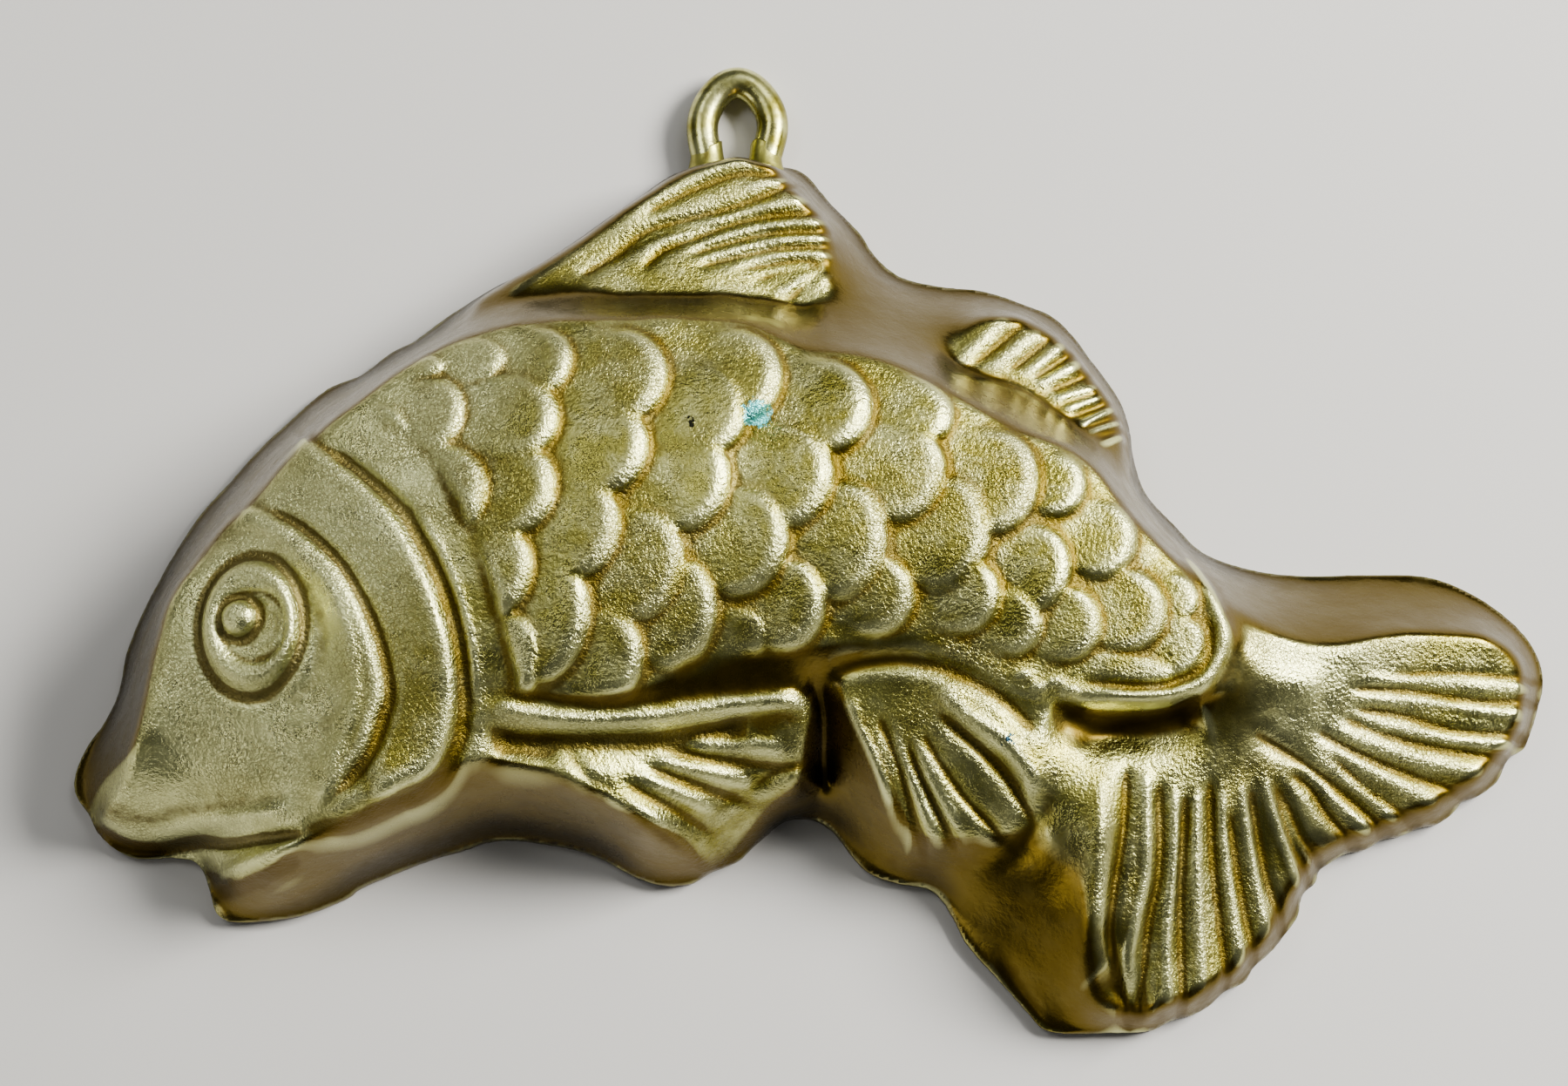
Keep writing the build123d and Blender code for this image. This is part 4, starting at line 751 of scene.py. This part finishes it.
def brass_sheet():
    m = Tree("old_brass_sheet")
    raised_v, hollow_v, deep_v, slope_v, inside_v = (m.attr(k) for k in ("raised", "hollow", "deep", "slope", "inside"))
    cloud = m.noise(38.0, 5.0)
    fine = m.noise(420.0, 4.0, 0.6)
    mottle = m.noise(150.0, 5.0, 0.6)
    col = m.mix(m.band(cloud, 0.36, 0.72), OLIVE, BRASS)
    col = m.mix(m.math("MULTIPLY", m.band(mottle, 0.45, 0.7), 0.45), col, PALE)
    # head tops and a patch of the tail paled: partly real polish, partly painted highlight
    col = m.mix(m.math("MULTIPLY", m.attr("polish_and_painted_highlight"), m.band(m.noise(90.0, 4.0), 0.30, 0.62, 0.45, 0.95)), col, PALE)
    # painted shade: steep walls darkened towards brown, standing in for their dark reflection and shade
    painted_wall_shade = m.band(slope_v, 0.36, 0.72)
    col = m.mix(m.math("MULTIPLY", painted_wall_shade, 0.95), col, BROWN)
    # hollows of the pressed detail darkened towards brown: partly real dirt in the grooves, partly painted shade along
    # the steps of scales and lines; it also roughens them
    crease_dirt_and_shade = m.math("MULTIPLY", m.band(m.math("ADD", hollow_v, m.band(fine, 0.35, 0.7, -0.10, 0.10)), 0.06, 0.38), 0.86)
    col = m.mix(crease_dirt_and_shade, col, BROWN)
    # painted shadow: deep recesses darkened towards near black
    col = m.mix(m.math("MULTIPLY", m.band(deep_v, 0.3, 1.0), 0.8), col, RECESS_SHADE_BLACK)
    # crests of ridges and scale crescents paled: partly real wear, partly painted highlight
    wear_and_painted_highlight = m.math("MULTIPLY", m.band(hollow_v, -0.08, -0.45), 0.75)
    col = m.mix(wear_and_painted_highlight, col, PALE)
    # crackled tops: fine dark lines between pale islands
    crack = m.node("ShaderNodeTexVoronoi", Scale=1350.0, feature="DISTANCE_TO_EDGE")
    warp = m.node("ShaderNodeTexNoise", Scale=900.0, Detail=3.0)
    m.link(m.coords(), warp.inputs["Vector"])
    add = m.t.nodes.new("ShaderNodeVectorMath")
    add.operation = "MULTIPLY_ADD"
    m.link(warp.outputs["Color"], add.inputs[0])
    add.inputs[1].default_value = (0.0012, 0.0012, 0.0012)
    m.link(m.coords(), add.inputs[2])
    m.link(add.outputs[0], crack.inputs["Vector"])
    lines = m.band(crack.outputs["Distance"], 0.0, 0.16, 1.0, 0.0)
    patchy = m.math("MULTIPLY", raised_v, m.band(m.noise(60.0, 3.0), 0.38, 0.6))
    cracks = m.math("MULTIPLY", lines, patchy)
    col = m.mix(m.math("MULTIPLY", cracks, 0.6), col, BROWN)
    # spot of verdigris and two dark pits
    for (x, y), r, tint in (((-9.6, 14.7), 2.6, (0.10, 0.46, 0.44)), ((-21.3, 12.9), 0.8, (0.02, 0.02, 0.012)), ((34.4, -41.1), 0.9, (0.02, 0.05, 0.07))):
        sub = m.t.nodes.new("ShaderNodeVectorMath")
        sub.operation = "SUBTRACT"
        m.link(m.coords(), sub.inputs[0])
        sub.inputs[1].default_value = (x / 1000, y / 1000, 0)
        mul = m.t.nodes.new("ShaderNodeVectorMath")
        mul.operation = "MULTIPLY"
        m.link(sub.outputs[0], mul.inputs[0])
        mul.inputs[1].default_value = (1000, 1000, 0)
        length = m.t.nodes.new("ShaderNodeVectorMath")
        length.operation = "LENGTH"
        m.link(mul.outputs[0], length.inputs[0])
        ragged = m.math("ADD", length.outputs["Value"], m.band(m.noise(900.0, 4.0, 0.7), 0.3, 0.7, -1.3, 1.3))
        spot = m.band(ragged, r * 0.75, r * 0.95, 1.0, 0.0)
        col = m.mix(m.math("MULTIPLY", spot, m.math("SUBTRACT", 1.0, inside_v)), col, tint)
    col = m.mix(m.math("MULTIPLY", inside_v, 0.55), col, (0.30, 0.22, 0.085))
    m.link(col, m.shader.inputs["Base Color"])
    m.shader.inputs["Metallic"].default_value = 1.0
    rough = m.math("ADD", m.band(m.noise(220.0, 4.0), 0.3, 0.7, 0.20, 0.33), m.math("MULTIPLY", crease_dirt_and_shade, 0.18))
    rough = m.math("ADD", rough, m.math("MULTIPLY", patchy, 0.05))
    m.link(rough, m.shader.inputs["Roughness"])
    wrinkle = m.math("MULTIPLY", m.math("SUBTRACT", m.noise(1300.0, 3.0, 0.6), 0.5), m.math("ADD", m.math("MULTIPLY", raised_v, 0.9), 0.12))
    height = m.math("SUBTRACT", wrinkle, m.math("MULTIPLY", cracks, 0.20))
    height = m.math("ADD", height, m.math("MULTIPLY", m.noise(170.0, 3.0), 0.5))
    bump = m.node("ShaderNodeBump", Strength=0.7, Distance=0.00045)
    m.link(height, bump.inputs["Height"])
    m.link(bump.outputs["Normal"], m.shader.inputs["Normal"])
    return m.mat


def brass_wire(name, tint, dull):
    m = Tree(name)
    col = m.mix(m.band(m.noise(110.0, 4.0), 0.38, 0.66), OLIVE, tint)
    col = m.mix(m.band(m.noise(420.0, 4.0), 0.56, 0.74, 0.0, 0.6), col, BROWN)
    m.link(col, m.shader.inputs["Base Color"])
    m.shader.inputs["Metallic"].default_value = 1.0
    m.link(m.band(m.noise(260.0, 3.0), 0.3, 0.7, 0.22 + dull, 0.34 + dull), m.shader.inputs["Roughness"])
    bump = m.node("ShaderNodeBump", Strength=0.35, Distance=0.0003)
    m.link(m.noise(380.0, 3.0), bump.inputs["Height"])
    m.link(bump.outputs["Normal"], m.shader.inputs["Normal"])
    return m.mat


fish.data.materials.append(brass_sheet())
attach(fish, "root")
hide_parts("mould_shell")
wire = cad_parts["hanging_loop"]
wire.data.materials.clear()
wire.data.materials.append(brass_wire("brass_wire_rubbed", PALE, 0.0))

# brazing metal: an uneven collar round each leg that feathers out along the wire
verts, faces = [], []
for leg, x in enumerate((-19.4, -8.4)):
    first, rows, cols = len(verts), 26, 40
    for r in range(rows):
        t = r / (rows - 1)
        for c in range(cols):
            a = 2 * math.pi * c / cols
            lump = 0.10 * math.sin(3 * a + 2.1 * leg + 5 * t) + 0.07 * math.sin(5 * a - 7 * t + leg)
            long = 6.0 + 0.9 * math.sin(2 * a + 1.3 + 2 * leg)
            rad = 2.96 + (1.15 + lump) * (1 - t) ** 2.1
            z = max(0.15, 3.2 + rad * math.sin(a))
            bend = (-0.7, 1.2)[leg] * (max(0.0, 69.5 + t * long - 73) / 8) ** 2
            verts.append(((x + bend + rad * math.cos(a)) / 1000, (69.5 + t * long) / 1000, z / 1000))
    for r in range(rows - 1):
        for c in range(cols):
            d = (c + 1) % cols
            faces.append((first + r * cols + c, first + r * cols + d, first + (r + 1) * cols + d, first + (r + 1) * cols + c))
    faces.append(tuple(first + c for c in range(cols))[::-1])
    faces.append(tuple(first + (rows - 1) * cols + c for c in range(cols)))
braze_mesh = bpy.data.meshes.new("braze_metal")
braze_mesh.from_pydata(verts, [], faces)
braze_mesh.update()
braze_mesh.polygons.foreach_set("use_smooth", np.array([len(f) == 4 for f in faces]))
braze = bpy.data.objects.new("braze_metal", braze_mesh)
bpy.context.scene.collection.objects.link(braze)
braze.data.materials.append(brass_wire("braze_dull", BRASS, 0.10))
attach(braze, "root")
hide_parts("braze_fillets")


# ---- floor, light and camera ------------------------------------------------------------------
def plain_material(name, colour, rough):
    mat = bpy.data.materials.new(name)
    mat.use_nodes = True
    s = mat.node_tree.nodes["Principled BSDF"]
    s.inputs["Base Color"].default_value = (*colour, 1)
    s.inputs["Roughness"].default_value = rough
    return mat


bpy.ops.mesh.primitive_plane_add(size=6.0, location=(0, 0, -0.0004))
floor = bpy.context.object
floor.name = "floor"
floor.data.materials.append(plain_material("pale_floor", (0.52, 0.505, 0.48), 0.75))


def softbox(name, where, target, size, power, colour=(1, 1, 1)):
    data = bpy.data.lights.new(name, "AREA")
    data.shape = "RECTANGLE"
    data.size, data.size_y = size
    data.energy = power
    data.color = colour
    lamp = bpy.data.objects.new(name, data)
    lamp.location = where
    lamp.rotation_euler = (Vector(target) - Vector(where)).to_track_quat("-Z", "Y").to_euler()
    bpy.context.scene.collection.objects.link(lamp)


softbox("window", (0.95, 0.35, 0.80), (0, 0, 0.02), (0.55, 0.48), 58.0, (1.0, 0.99, 0.95))
softbox("ceiling", (0.45, 0.75, 1.1), (0, 0, 0.02), (0.7, 0.5), 5.0, (0.98, 1.0, 1.0))
softbox("upper_left", (-0.55, 0.40, 1.05), (-0.05, 0, 0.02), (0.50, 0.35), 3.6, (0.99, 1.0, 1.0))
softbox("low_left", (-0.9, -0.5, 0.35), (0, 0, 0.02), (0.35, 0.3), 1.2, (1.0, 0.97, 0.92))
world = bpy.data.worlds.new("room")
world.use_nodes = True
world.node_tree.nodes["Background"].inputs["Color"].default_value = (0.30, 0.31, 0.31, 1)
world.node_tree.nodes["Background"].inputs["Strength"].default_value = 0.26
bpy.context.scene.world = world

cam_data = bpy.data.cameras.new("camera")
cam_data.sensor_width = 36.0
cam_data.lens = 36.0 * 4069 / 1800
cam_data.clip_start = 0.01
camera = bpy.data.objects.new("camera", cam_data)
camera.location = (-0.004868, -0.12060, 0.64928)
camera.rotation_euler = (math.radians(10.5), 0, 0)
bpy.context.scene.collection.objects.link(camera)
bpy.context.scene.camera = camera
